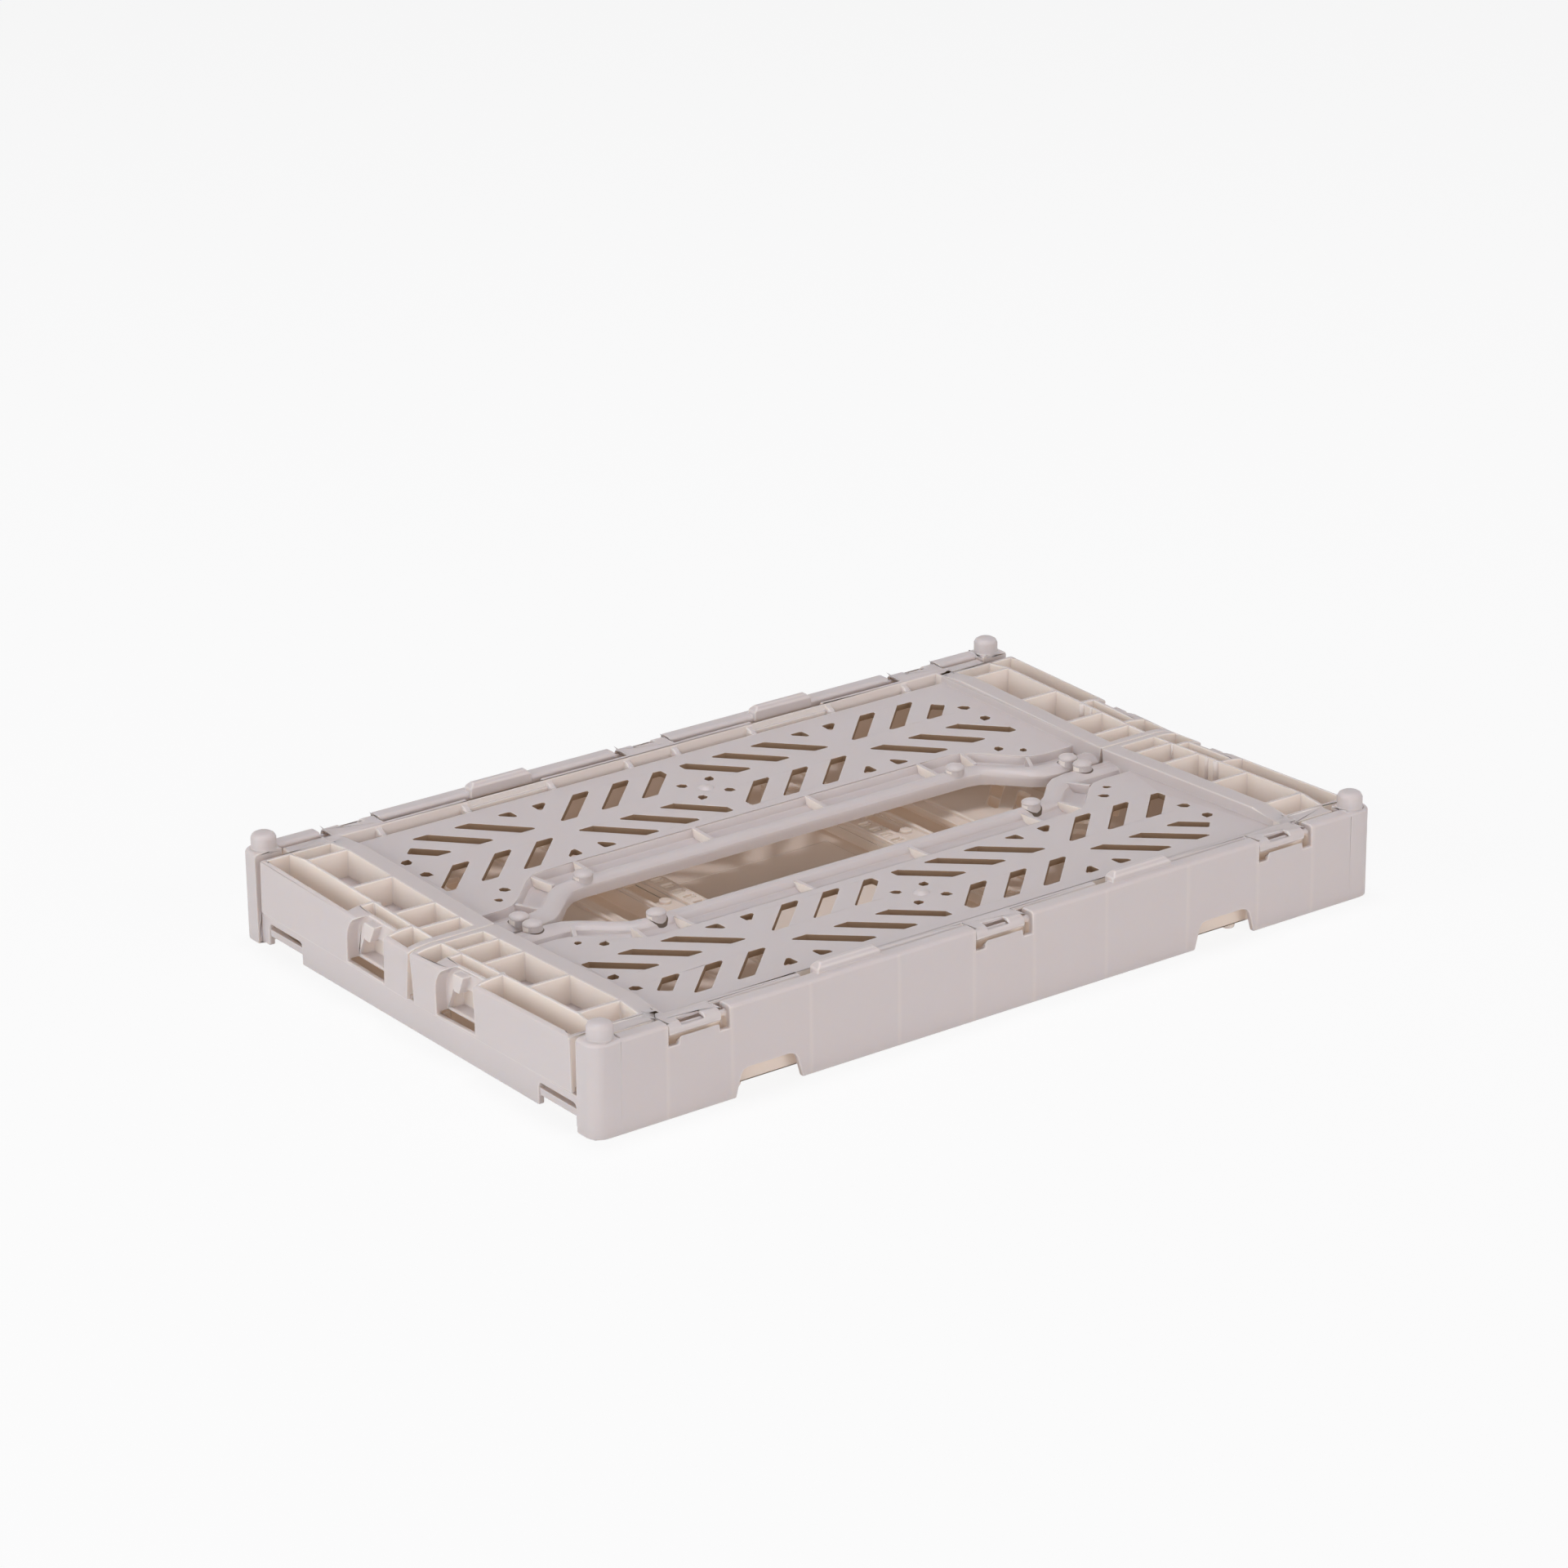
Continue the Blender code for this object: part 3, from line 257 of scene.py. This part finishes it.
coreHoleSettings = {
    # Painted shade: dark crescents in the rails, for the shaded core holes at the hinge side of each
    # button
    "places": ((0.0650, 0.0172), (0.0956, 0.0032)), "inner": 0.00275, "outer": 0.00350,
    "shift": 0.00065, "start": 0.0005, "low": 0.0185, "blur": 0.00012,
}

# Face attributes: painted edge highlights, painted shade on the walls of slots and holes, and painted
# glow on thin walls
faceMarks = ("edgeHighlight", "paintedShade", "paintedGlow")


def colour(value):
    return (*value, 1.0)


def blendColours(tree, share, low, high):
    # The colours are the node's seventh and eighth inputs, and its third output.
    return addNode(tree, "ShaderNodeMix", {"data_type": "RGBA"}, share, *[None] * 5, low, high,
                   output=2)


def held(wire):
    # Kept between 0 and 1.
    return addNode(wire.tree, "ShaderNodeMath", {"operation": "ADD", "use_clamp": True}, wire, 0.0)


def wallMarks(x, y, s):
    # Sink lines in the long walls, opposite the ribs behind them.
    stops = [(0.0, 0.0)]
    for middle in s["places"]:
        for step, value in ((-1, 0.0), (0, 1.0), (1, 0.0)):
            stops.append(((middle + step * s["halfWidth"]) / s["span"], value))
    line = addNode(x.tree, "ShaderNodeValToRGB", {"stops": stops}, abs(x) / s["span"])
    return line * (abs(y) > s["wallReach"])


def insideMask(x, y, z, s):
    # 1 on what lies within the walls and under the panels, where painted bounce light is laid on: a
    # lighter, warmer colour and emission.
    return (held((s["reachX"] - abs(x)) / s["blur"]) * held((s["reachY"] - abs(y)) / s["blur"])
            * held((s["top"] - z) / s["blur"]) * s["share"])


def coreHoles(x, y, z, s):
    mask = 0.0
    for placeX, placeY in s["places"]:
        ways = (abs(x) - placeX, abs(y) - placeY)
        near = (ways[0] * ways[0] + ways[1] * ways[1]).root()
        lowered = ways[1] - s["shift"]
        rim = (ways[0] * ways[0] + lowered * lowered).root()
        ring = (held((near - s["inner"]) / s["blur"])
                * held((s["outer"] - s["shift"] - rim) / s["blur"]))
        mask = mask + ring * (ways[1] > s["start"])
    return mask * (z > s["low"])


def makePlastic(name, s, paintedWarmth=0.0, marks=None, inside=None, holes=None):
    material = bpy.data.materials.new(name)
    material.use_nodes = True
    tree = material.node_tree
    tree.nodes.clear()
    place = addNode(tree, "ShaderNodeTexCoord", None, output=3)
    x, y, z = (addNode(tree, "ShaderNodeSeparateXYZ", None, place, output=i) for i in range(3))

    def noise(scale, detail):
        return addNode(tree, "ShaderNodeTexNoise", None, place, Scale=scale, Detail=detail)

    clouds = noise(s["cloudScale"], s["cloudDetail"])
    ripples = noise(s["rippleScale"], s["rippleDetail"])
    grain = noise(s["grainScale"], s["grainDetail"])
    cell = addNode(tree, "ShaderNodeTexVoronoi", None, place, Scale=s["speckScale"])
    middle = addNode(tree, "ShaderNodeTexVoronoi", None, place, Scale=s["speckScale"], output=2)
    pick = addNode(tree, "ShaderNodeTexWhiteNoise", None, middle)
    specks = (cell < s["speckSize"]) * (pick > s["speckRarity"])
    edge, paintedShade, paintedGlow = (addNode(tree, "ShaderNodeAttribute", {"attribute_name": key}, output=2)
                           for key in faceMarks)

    # Random clouds of a warmer tone, and painted warm bounce light where warmth is given
    tone = blendColours(tree, clouds * s["cloudShare"] + paintedWarmth, colour(s["colour"]),
                        colour(s["warmTint"]))
    # Painted bounce light: lighter and warmer inside the tray and under the panels
    if inside:
        tone = blendColours(tree, insideMask(x, y, z, inside), tone, colour(s["paintedInsideBounce"]))
    # Painted glow: the thin walls are lighter and creamier
    tone = blendColours(tree, paintedGlow * s["paintedGlowShare"], tone, colour(s["paintedGlowTint"]))
    # Painted highlight: the bevel faces of the edges are lighter
    tone = blendColours(tree, edge * s["edgeShare"], tone, colour(s["edgeHighlightTint"]))
    height = grain * s["grainHeight"] + ripples * s["rippleHeight"]
    if marks:
        line = wallMarks(x, y, marks)
        tone = blendColours(tree, line * marks["tintShare"], tone, colour(marks["tint"]))
        height = height - line * marks["depth"]
    tone = blendColours(tree, specks, tone, colour(s["speckTint"]))
    # Painted shade: dark brown on the walls of slots and holes, and a little on the tops of the outer
    # strips
    tone = blendColours(tree, paintedShade, tone, colour(s["shadeTint"]))
    # Painted shade where the core holes open beside the buttons
    if holes:
        tone = blendColours(tree, held(coreHoles(x, y, z, holes)), tone, colour(s["holeShadeTint"]))
    risen = held((z - s["paintedGlowFoot"]) / s["paintedGlowRise"])
    # Painted glow as emission: faint and warm everywhere, stronger on the thin walls higher up
    shine = blendColours(tree, paintedGlow * risen, colour(s["deepLight"]), colour(s["paintedGlowLight"]))
    # Painted glow as emission inside the tray and under the panels
    if inside:
        shine = blendColours(tree, insideMask(x, y, z, inside), shine, colour(s["innerLight"]))
    roughness = (s["roughness"] + (grain - 0.5) * s["roughnessSpread"] - edge * s["edgePolish"]
                 + paintedShade * s["recessDull"])
    bump = addNode(tree, "ShaderNodeBump", None, Distance=1.0, Height=height)
    shader = addNode(tree, "ShaderNodeBsdfPrincipled", None, Base_Color=tone, Roughness=roughness,
                     Normal=bump, Subsurface_Weight=s["glow"],
                     Subsurface_Radius=s["glowRadius"], Subsurface_Scale=s["glowDepth"],
                     Emission_Color=shine, Emission_Strength=s["lightStrength"])
    addNode(tree, "ShaderNodeOutputMaterial", None, shader)
    return material


trayPlastic = makePlastic("trayPlastic", plasticSettings, marks=wallMarkSettings,
                          inside=insideSettings)
sidePlastic = makePlastic("sidePlastic", plasticSettings, holes=coreHoleSettings)
# The end panels are warmed throughout: painted bounce light from the crate's inside
endPlastic = makePlastic("endPlastic", plasticSettings, paintedWarmth=0.2, inside=insideSettings)
print("plastics are made")


mouldSettings = {
    "mergeDistance": 0.00007, "edgeSteps": 2, "edgeAngle": math.radians(32), "normalWeight": 100,
    "trayEdge": 0.00038, "sideEdge": 0.00034, "endEdge": 0.00030, "slotEdgeShare": 0.40,
}
pegSettings = {
    "reachX": 0.1278, "reachY": 0.0810, "reach": 0.0044, "foot": 0.0284,
    "levels": ((0.0034, 0.0296), (0.0029, 0.0305), (0.0020, 0.0310), (-1.0, 0.0310)),
}
sideSettings = {
    # Place of the side panels and, in their own frame, of the slots and the buttons
    "hingeReach": 0.0830, "hingeHeight": 0.0239, "tilt": math.radians(1.74),
    "slotZone": (0.1015, 0.0145, 0.0522),
    "holes": ((0.0866, 0.0592), (0.0916, 0.06435)), "holeReach": 0.0027,
    # Small holes brought to their seen place and size: middle, reach, new middle, stretch
    "reshaped": tuple(
        [((0.0515 + way * 0.0046, y), 0.0036, (0.0515 + way * 0.0054, y), 1.28)
         for y in (0.0169, 0.0499) for way in (-1, 1)]
        + [((0.0987, y), 0.0024, (0.0984, y), 1.12) for y in (0.02855, 0.03825)]),
    "railZone": (0.0525, -0.0032, 0.1050), "railEdgeShare": 0.30,
    # Where thin walls get painted glow, a lighter colour and emission: the cells of the ends, the
    # rail's inner walls and the strap troughs
    "columnReach": 0.1105, "columnSkin": 0.1325, "paintedGlowLow": -0.0120, "valleyLow": -0.0036,
    "troughStart": 0.0038, "troughShare": 0.6,
    "latchZone": (0.1285, 0.0515, 0.0715), "latchShare": 0.3, "stripShade": 0.08,
    "plateTop": -0.0001, "plateUnder": -0.0020, "plateSlack": 0.0003, "holeSlack": 0.0002,
    "levelSlack": 0.00002, "levelFacing": 0.999,
    # How far a face's direction leans: nearly along an axis, steep, and the wall of a slot
    "axisFacing": 0.9, "steepFacing": 0.6, "wallSlope": 0.35,
    "buttons": ((0.0650, 0.0658, 0.0023), (0.0956, 0.0798, 0.0027)),
    "buttonRadius": 0.0028, "buttonInset": 0.0006, "buttonFoot": 0.0012,
}


def sidePlace(side, s):
    turn = 0.0 if side < 0 else math.pi
    return Matrix.LocRotScale(Vector((0, side * s["hingeReach"], s["hingeHeight"])),
                              Euler((-s["tilt"], 0, turn)), None)


def inSlots(spot, s):
    reachX, lowY, highY = s["slotZone"]
    if abs(spot.x) < reachX and lowY < spot.y < highY:
        return True
    return any(math.hypot(abs(spot.x) - x, spot.y - y) < s["holeReach"] for x, y in s["holes"])


def edgeShare(spot, s, sizes):
    # How much of the edge radius an edge of the side panel gets.
    lowY, lowZ, reachX = sizes["railZone"]
    if inSlots(spot, sizes):
        return s["slotEdgeShare"]
    if spot.y > lowY and spot.z > lowZ and abs(spot.x) < reachX:
        return sizes["railEdgeShare"]
    return 1.0


def softened(node, edgeRadius, s, panel=None):
    # A copy of a CAD node with its edges rounded off, kept inside the node's own box.
    work = bmesh.new()
    work.from_mesh(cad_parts[node].data)
    bmesh.ops.remove_doubles(work, verts=work.verts, dist=s["mergeDistance"])
    back = panel.inverted() if panel else None
    if panel:
        lowerButtons(work, panel, sideSettings)
        reshapeHoles(work, panel, sideSettings)
    if node == "base_tray":
        squarePegs(work, pegSettings)
    weights = work.edges.layers.float.new("bevel_weight_edge")
    for edge in work.edges:
        if len(edge.link_faces) == 2 and edge.calc_face_angle() > s["edgeAngle"]:
            middle = (edge.verts[0].co + edge.verts[1].co) / 2
            edge[weights] = edgeShare(back @ middle, s, sideSettings) if panel else 1.0
    for face in work.faces:
        face.smooth = True
        face.material_index = 0
    mesh = bpy.data.meshes.new(node)
    work.to_mesh(mesh)
    work.free()
    obj = bpy.data.objects.new(node + "_moulded", mesh)
    bpy.context.scene.collection.objects.link(obj)
    edges = obj.modifiers.new("edges", "BEVEL")
    edges.width = edgeRadius
    edges.segments = s["edgeSteps"]
    edges.limit_method = "WEIGHT"
    edges.use_clamp_overlap = False
    edges.material = 1
    shading = obj.modifiers.new("shading", "WEIGHTED_NORMAL")
    shading.weight = s["normalWeight"]
    mesh.materials.append(None)
    mesh.materials.append(None)
    graph = bpy.context.evaluated_depsgraph_get()
    result = bpy.data.meshes.new_from_object(obj.evaluated_get(graph))
    obj.modifiers.clear()
    obj.data = result
    low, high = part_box(node)
    for vert in result.vertices:
        vert.co = [min(max(value, least), most)
                   for value, least, most in zip(vert.co, low, high)]
    markFaces(result, back, sideSettings)
    return obj


def squarePegs(work, s):
    # Fuller shoulders for the stacking pegs, as high as before.
    for vert in work.verts:
        away = math.hypot(abs(vert.co.x) - s["reachX"], abs(vert.co.y) - s["reachY"])
        if vert.co.z > s["foot"] and away < s["reach"]:
            vert.co.z = next(level for radius, level in s["levels"] if away > radius)


def lowerButtons(work, panel, s):
    # The buttons of the rail get their domes as pieces of their own.
    back = panel.inverted()
    for vert in work.verts:
        spot = back @ vert.co
        for x, y, top in s["buttons"]:
            away = math.hypot(abs(spot.x) - x, spot.y - y)
            if away < s["buttonRadius"] and spot.z > top - s["buttonFoot"]:
                spot.z = min(spot.z, top - s["buttonInset"])
                vert.co = panel @ spot


def reshapeHoles(work, panel, s):
    back = panel.inverted()
    for vert in work.verts:
        spot = back @ vert.co
        if not s["plateUnder"] - s["plateSlack"] < spot.z < s["plateTop"] + s["plateSlack"]:
            continue
        way = -1 if spot.x < 0 else 1
        for (x, y), reach, (newX, newY), stretch in s["reshaped"]:
            aside, along = abs(spot.x) - x, spot.y - y
            if math.hypot(aside, along) < reach:
                spot.x = way * (newX + aside * stretch)
                spot.y = newY + along * stretch
                vert.co = panel @ spot
                break
    for level in (s["plateTop"], s["plateUnder"]):
        refillPlate(work, back, level, s)


def refillPlate(work, back, level, s):
    # The flat side of the plate is filled again between its outlines. Slivers that turned over
    # when the holes moved go too. The outline keeps the order of the mesh, so each run is alike.
    turned = back.to_3x3()
    old = [face for face in work.faces if abs((turned @ face.normal).z) > s["levelFacing"]
           and all(abs((back @ vert.co).z - level) < s["levelSlack"] for vert in face.verts)]
    inner = set(old)
    outline = [edge for edge in work.edges
               if sum(face in inner for face in edge.link_faces) == 1]
    way = sum((face.normal for face in old), Vector()).normalized()
    bmesh.ops.delete(work, geom=old, context="FACES_ONLY")
    filled = bmesh.ops.triangle_fill(work, use_beauty=True, use_dissolve=False, edges=outline,
                                     normal=(0, 0, 1))
    fresh = [item for item in filled["geom"] if isinstance(item, bmesh.types.BMFace)]
    for face in fresh:
        face.normal_update()
        if face.normal.dot(way) < 0:
            face.normal_flip()
    spare = openingFaces(fresh, set(outline))
    bmesh.ops.delete(work, geom=spare, context="FACES_ONLY")
    loose = [edge for edge in work.edges if not edge.link_faces]
    bmesh.ops.delete(work, geom=loose, context="EDGES")
    print("plate side with", len(old), "faces filled again with", len(fresh) - len(spare))


def openingFaces(fresh, outline):
    # The faces that close an opening: they run along its walls the same way as the walls do.
    inner = set(fresh)
    spare = set()
    for face in fresh:
        for loop in face.loops:
            walls = [other for other in loop.link_loops if other.face not in inner]
            if loop.edge in outline and any(other.vert == loop.vert for other in walls):
                spare.add(face)
    waiting = list(spare)
    while waiting:
        for edge in waiting.pop().edges:
            if edge not in outline:
                more = [face for face in edge.link_faces if face in inner and face not in spare]
                spare.update(more)
                waiting.extend(more)
    return [face for face in fresh if face in spare]


def thinWall(spot, facing, s):
    # How much painted glow a face of the side panel gets: 1 in the cells and inside the rail.
    reachX, lowY, _ = s["slotZone"]
    if abs(facing.z) >= s["steepFacing"] or spot.z <= s["paintedGlowLow"]:
        return 0.0
    column = s["columnReach"] < abs(spot.x) < s["columnSkin"]
    high = spot.z > s["valleyLow"]
    valley = (high and spot.y > s["railZone"][0] and abs(facing.x) > s["axisFacing"]
              and abs(spot.x) < reachX)
    trough = high and s["troughStart"] < spot.y < lowY
    share = 1.0 if column or valley else s["troughShare"] if trough else 0.0
    reach, near, far = s["latchZone"]
    return share * s["latchShare"] if abs(spot.x) > reach and near < spot.y < far else share


def markFaces(mesh, back, s):
    # The numbers of faceMarks for each face. The bevel gave its own faces material 1, which gets the
    # painted edge highlight.
    rows = []
    for face in mesh.polygons:
        lit, shadeShare, glow = float(face.material_index), 0.0, 0.0
        if back:
            spot = back @ face.center
            facing = back.to_3x3() @ face.normal
            glow = thinWall(spot, facing, s)
            outer = abs(spot.x) > s["slotZone"][0] and spot.z > s["plateTop"]
            # Painted shade, a little, on the tops of the outer strips
            if facing.z > s["axisFacing"] and outer:
                shadeShare = s["stripShade"]
            # Painted shade on the walls of slots and holes, and no painted highlight there
            if inSlots(spot, s):
                lit = 0.0
                inPlate = s["plateUnder"] - s["holeSlack"] < spot.z < s["plateTop"]
                if abs(facing.z) < s["wallSlope"] and inPlate:
                    shadeShare, glow = 1.0, 0.0
        rows.append((lit, shadeShare, glow))
        face.material_index = 0
    for name, values in zip(faceMarks, zip(*rows)):
        mesh.attributes.new(name, "FLOAT", "FACE").data.foreach_set("value", values)


for node, body, finish, slot, radius, side in (
        ("base_tray", "tray", trayPlastic, "tray_plastic", "trayEdge", 0),
        ("side_panel_front", "front_side", sidePlastic, "side_plastic", "sideEdge", -1),
        ("side_panel_rear", "rear_side", sidePlastic, "side_plastic", "sideEdge", 1),
        ("end_panel_left", "left_end", endPlastic, "end_plastic", "endEdge", 0),
        ("end_panel_right", "right_end", endPlastic, "end_plastic", "endEdge", 0)):
    panel = sidePlace(side, sideSettings) if side else None
    piece = softened(node, mouldSettings[radius], mouldSettings, panel)
    piece.data.materials.clear()
    piece.data.materials.append(finish)
    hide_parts(node)
    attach(piece, body)
    print(node, "has", len(piece.data.polygons), "faces")


def grown(name, build, sizes, finish, place=None):
    # A piece that a node tree grows from its sizes, kept as a plain mesh.
    tree = bpy.data.node_groups.new(name, "GeometryNodeTree")
    tree.interface.new_socket("Geometry", in_out="OUTPUT", socket_type="NodeSocketGeometry")
    kinds = {int: "NodeSocketInt", float: "NodeSocketFloat", tuple: "NodeSocketVector"}
    keys = {}
    for label, value in sizes.items():
        socket = tree.interface.new_socket(label, in_out="INPUT", socket_type=kinds[type(value)])
        keys[label] = socket.identifier
    entry = tree.nodes.new("NodeGroupInput")
    wires = {label: Wire(tree, entry.outputs[label]) for label in sizes}
    whole = addNode(tree, "GeometryNodeRealizeInstances", None, build(tree, wires))
    dressed = addNode(tree, "GeometryNodeSetMaterial", None, whole, Material=finish)
    addNode(tree, "NodeGroupOutput", None, dressed)
    obj = bpy.data.objects.new(name, bpy.data.meshes.new(name))
    bpy.context.scene.collection.objects.link(obj)
    modifier = obj.modifiers.new(name, "NODES")
    modifier.node_group = tree
    for label, value in sizes.items():
        modifier[keys[label]] = value
    graph = bpy.context.evaluated_depsgraph_get()
    mesh = bpy.data.meshes.new_from_object(obj.evaluated_get(graph))
    obj.modifiers.clear()
    obj.data = mesh
    if place:
        mesh.transform(place)
    for face in mesh.polygons:
        face.use_smooth = True
    print(name, "has", len(mesh.polygons), "faces")
    return obj


def pointRow(tree, count, start, step):
    return addNode(tree, "GeometryNodeMeshLine", {"mode": "OFFSET"}, Count=count,
                   Start_Location=start, Offset=step)


def joinedWires(tree, wires):
    joined = addNode(tree, "GeometryNodeJoinGeometry", None)
    for wire in wires:
        tree.links.new(wire.socket, joined.socket.node.inputs[0])
    return joined


barSides = 10


def roundBar(tree, radius, length, turn):
    # A plain round bar, closed at both ends, along the turned Z axis.
    bar = addNode(tree, "GeometryNodeMeshCylinder", {"fill_type": "NGON"}, Vertices=barSides,
                  Side_Segments=1, Fill_Segments=1, Radius=radius, Depth=length)
    return addNode(tree, "GeometryNodeTransform", None, bar, Rotation=turn)


def vector(tree, x=0.0, y=0.0, z=0.0):
    return addNode(tree, "ShaderNodeCombineXYZ", None, x, y, z)


endSettings = {"hingeReach": 0.1270, "hingeHeight": 0.0069}
combSettings = {
    "Count": 24, "Pitch": 0.0050, "Shift": -0.00125,
    "Rib Radius": 0.00036, "Rib Length": 0.0035, "Rim Middle": 0.0915, "Height": 0.00436,
}


def endPlace(side, s):
    return Matrix.LocRotScale(Vector((side * s["hingeReach"], 0, s["hingeHeight"])),
                              Euler((0, 0, side * math.pi / 2)), None)


def combRibs(tree, s):
    # One rib along the middle of each groove of the rim.
    first = s["Pitch"] * (s["Count"] - 1) * -0.5 + s["Shift"]
    start = vector(tree, first, s["Rim Middle"], s["Height"])
    row = pointRow(tree, s["Count"], start, vector(tree, s["Pitch"]))
    rib = roundBar(tree, s["Rib Radius"], s["Rib Length"], (math.pi / 2, 0, 0))
    return addNode(tree, "GeometryNodeInstanceOnPoints", None, row, Instance=rib)


latticeSettings = {
    "Long Ribs": 7, "Cross Ribs": 11, "Long Pitch": 0.0225, "Cross Pitch": 0.0225,
    "Length": 0.2540, "Width": 0.1590, "Thickness": 0.0012, "Height": 0.0019, "Low": 0.0010,
}


def floorLattice(tree, s):
    # Low ribs under the floor, along it and across it.
    sets = []
    longRib = vector(tree, s["Length"], s["Thickness"], s["Height"])
    crossRib = vector(tree, s["Thickness"], s["Width"], s["Height"])
    for count, pitch, size, along in ((s["Long Ribs"], s["Long Pitch"], longRib, False),
                                      (s["Cross Ribs"], s["Cross Pitch"], crossRib, True)):
        first = pitch * (count - 1) * -0.5
        level = s["Low"] + s["Height"] * 0.5
        start = vector(tree, first, 0.0, level) if along else vector(tree, 0.0, first, level)
        step = vector(tree, pitch) if along else vector(tree, 0.0, pitch)
        row = pointRow(tree, count, start, step)
        rib = addNode(tree, "GeometryNodeMeshCube", None, size)
        sets.append(addNode(tree, "GeometryNodeInstanceOnPoints", None, row, Instance=rib))
    return joinedWires(tree, sets)


buttonSettings = {"Segments": 28, "Rings": 14, "Radius": 0.0028, "Crown": 0.00115, "Proud": 0.0001}


def buttonDomes(tree, s):
    # A flattened ball on each button of the rail.
    ball = addNode(tree, "GeometryNodeMeshUVSphere", None, s["Segments"], s["Rings"], s["Radius"])
    squat = addNode(tree, "GeometryNodeTransform", None, ball,
                    Scale=vector(tree, 1.0, 1.0, s["Crown"] / s["Radius"]))
    places = []
    for x, y, top in sideSettings["buttons"]:
        for side in (-1, 1):
            place = vector(tree, side * x, y, top - s["Crown"] + s["Proud"])
            places.append(pointRow(tree, 1, place, (0, 0, 0)))
    return addNode(tree, "GeometryNodeInstanceOnPoints", None, joinedWires(tree, places),
                   Instance=squat)


cellRibSettings = {"Wall": 0.1233, "Low": 0.0188, "High": 0.0270, "Radius": 0.00062}
cellRibPlaces = ((0.0094, 0.6), (0.0108, 0.6), (0.0258, 1.0), (0.0300, 1.6))  # reach, share of radius
# Share of painted glow on the cell ribs
cellRibGlow = 0.45


def cellRibs(tree, s):
    # Upright ribs on the cells' outer wall. The panel's tilt lowers those nearer the middle.
    ribs = []
    for reach, share in cellRibPlaces:
        drop = (sideSettings["hingeReach"] - reach) * math.sin(sideSettings["tilt"])
        half = (s["High"] - drop - s["Low"]) * 0.5
        for side in (-1, 1):
            place = vector(tree, side * s["Wall"], reach, s["Low"] + half)
            row = pointRow(tree, 1, place, (0, 0, 0))
            rib = roundBar(tree, s["Radius"] * share, half * 2.0, (0, 0, 0))
            ribs.append(addNode(tree, "GeometryNodeInstanceOnPoints", None, row, Instance=rib))
    return joinedWires(tree, ribs)


def finished(piece, body, glow=0.0):
    mesh = piece.data
    for name, value in zip(faceMarks, (0.0, 0.0, glow)):
        values = [value] * len(mesh.polygons)
        mesh.attributes.new(name, "FLOAT", "FACE").data.foreach_set("value", values)
    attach(piece, body)


for word, side in (("left", -1), ("right", 1)):
    comb = grown("comb_ribs_" + word, combRibs, combSettings, endPlastic,
                 endPlace(side, endSettings))
    finished(comb, word + "_end")
for word, side in (("front", -1), ("rear", 1)):
    domes = grown("rail_buttons_" + word, buttonDomes, buttonSettings, sidePlastic,
                  sidePlace(side, sideSettings))
    finished(domes, word + "_side")
    turn = Matrix.Rotation(math.pi, 4, "Z") if side < 0 else None
    ribs = grown("cell_ribs_" + word, cellRibs, cellRibSettings, sidePlastic, turn)
    finished(ribs, word + "_side", cellRibGlow)
finished(grown("floor_lattice", floorLattice, latticeSettings, trayPlastic), "tray")
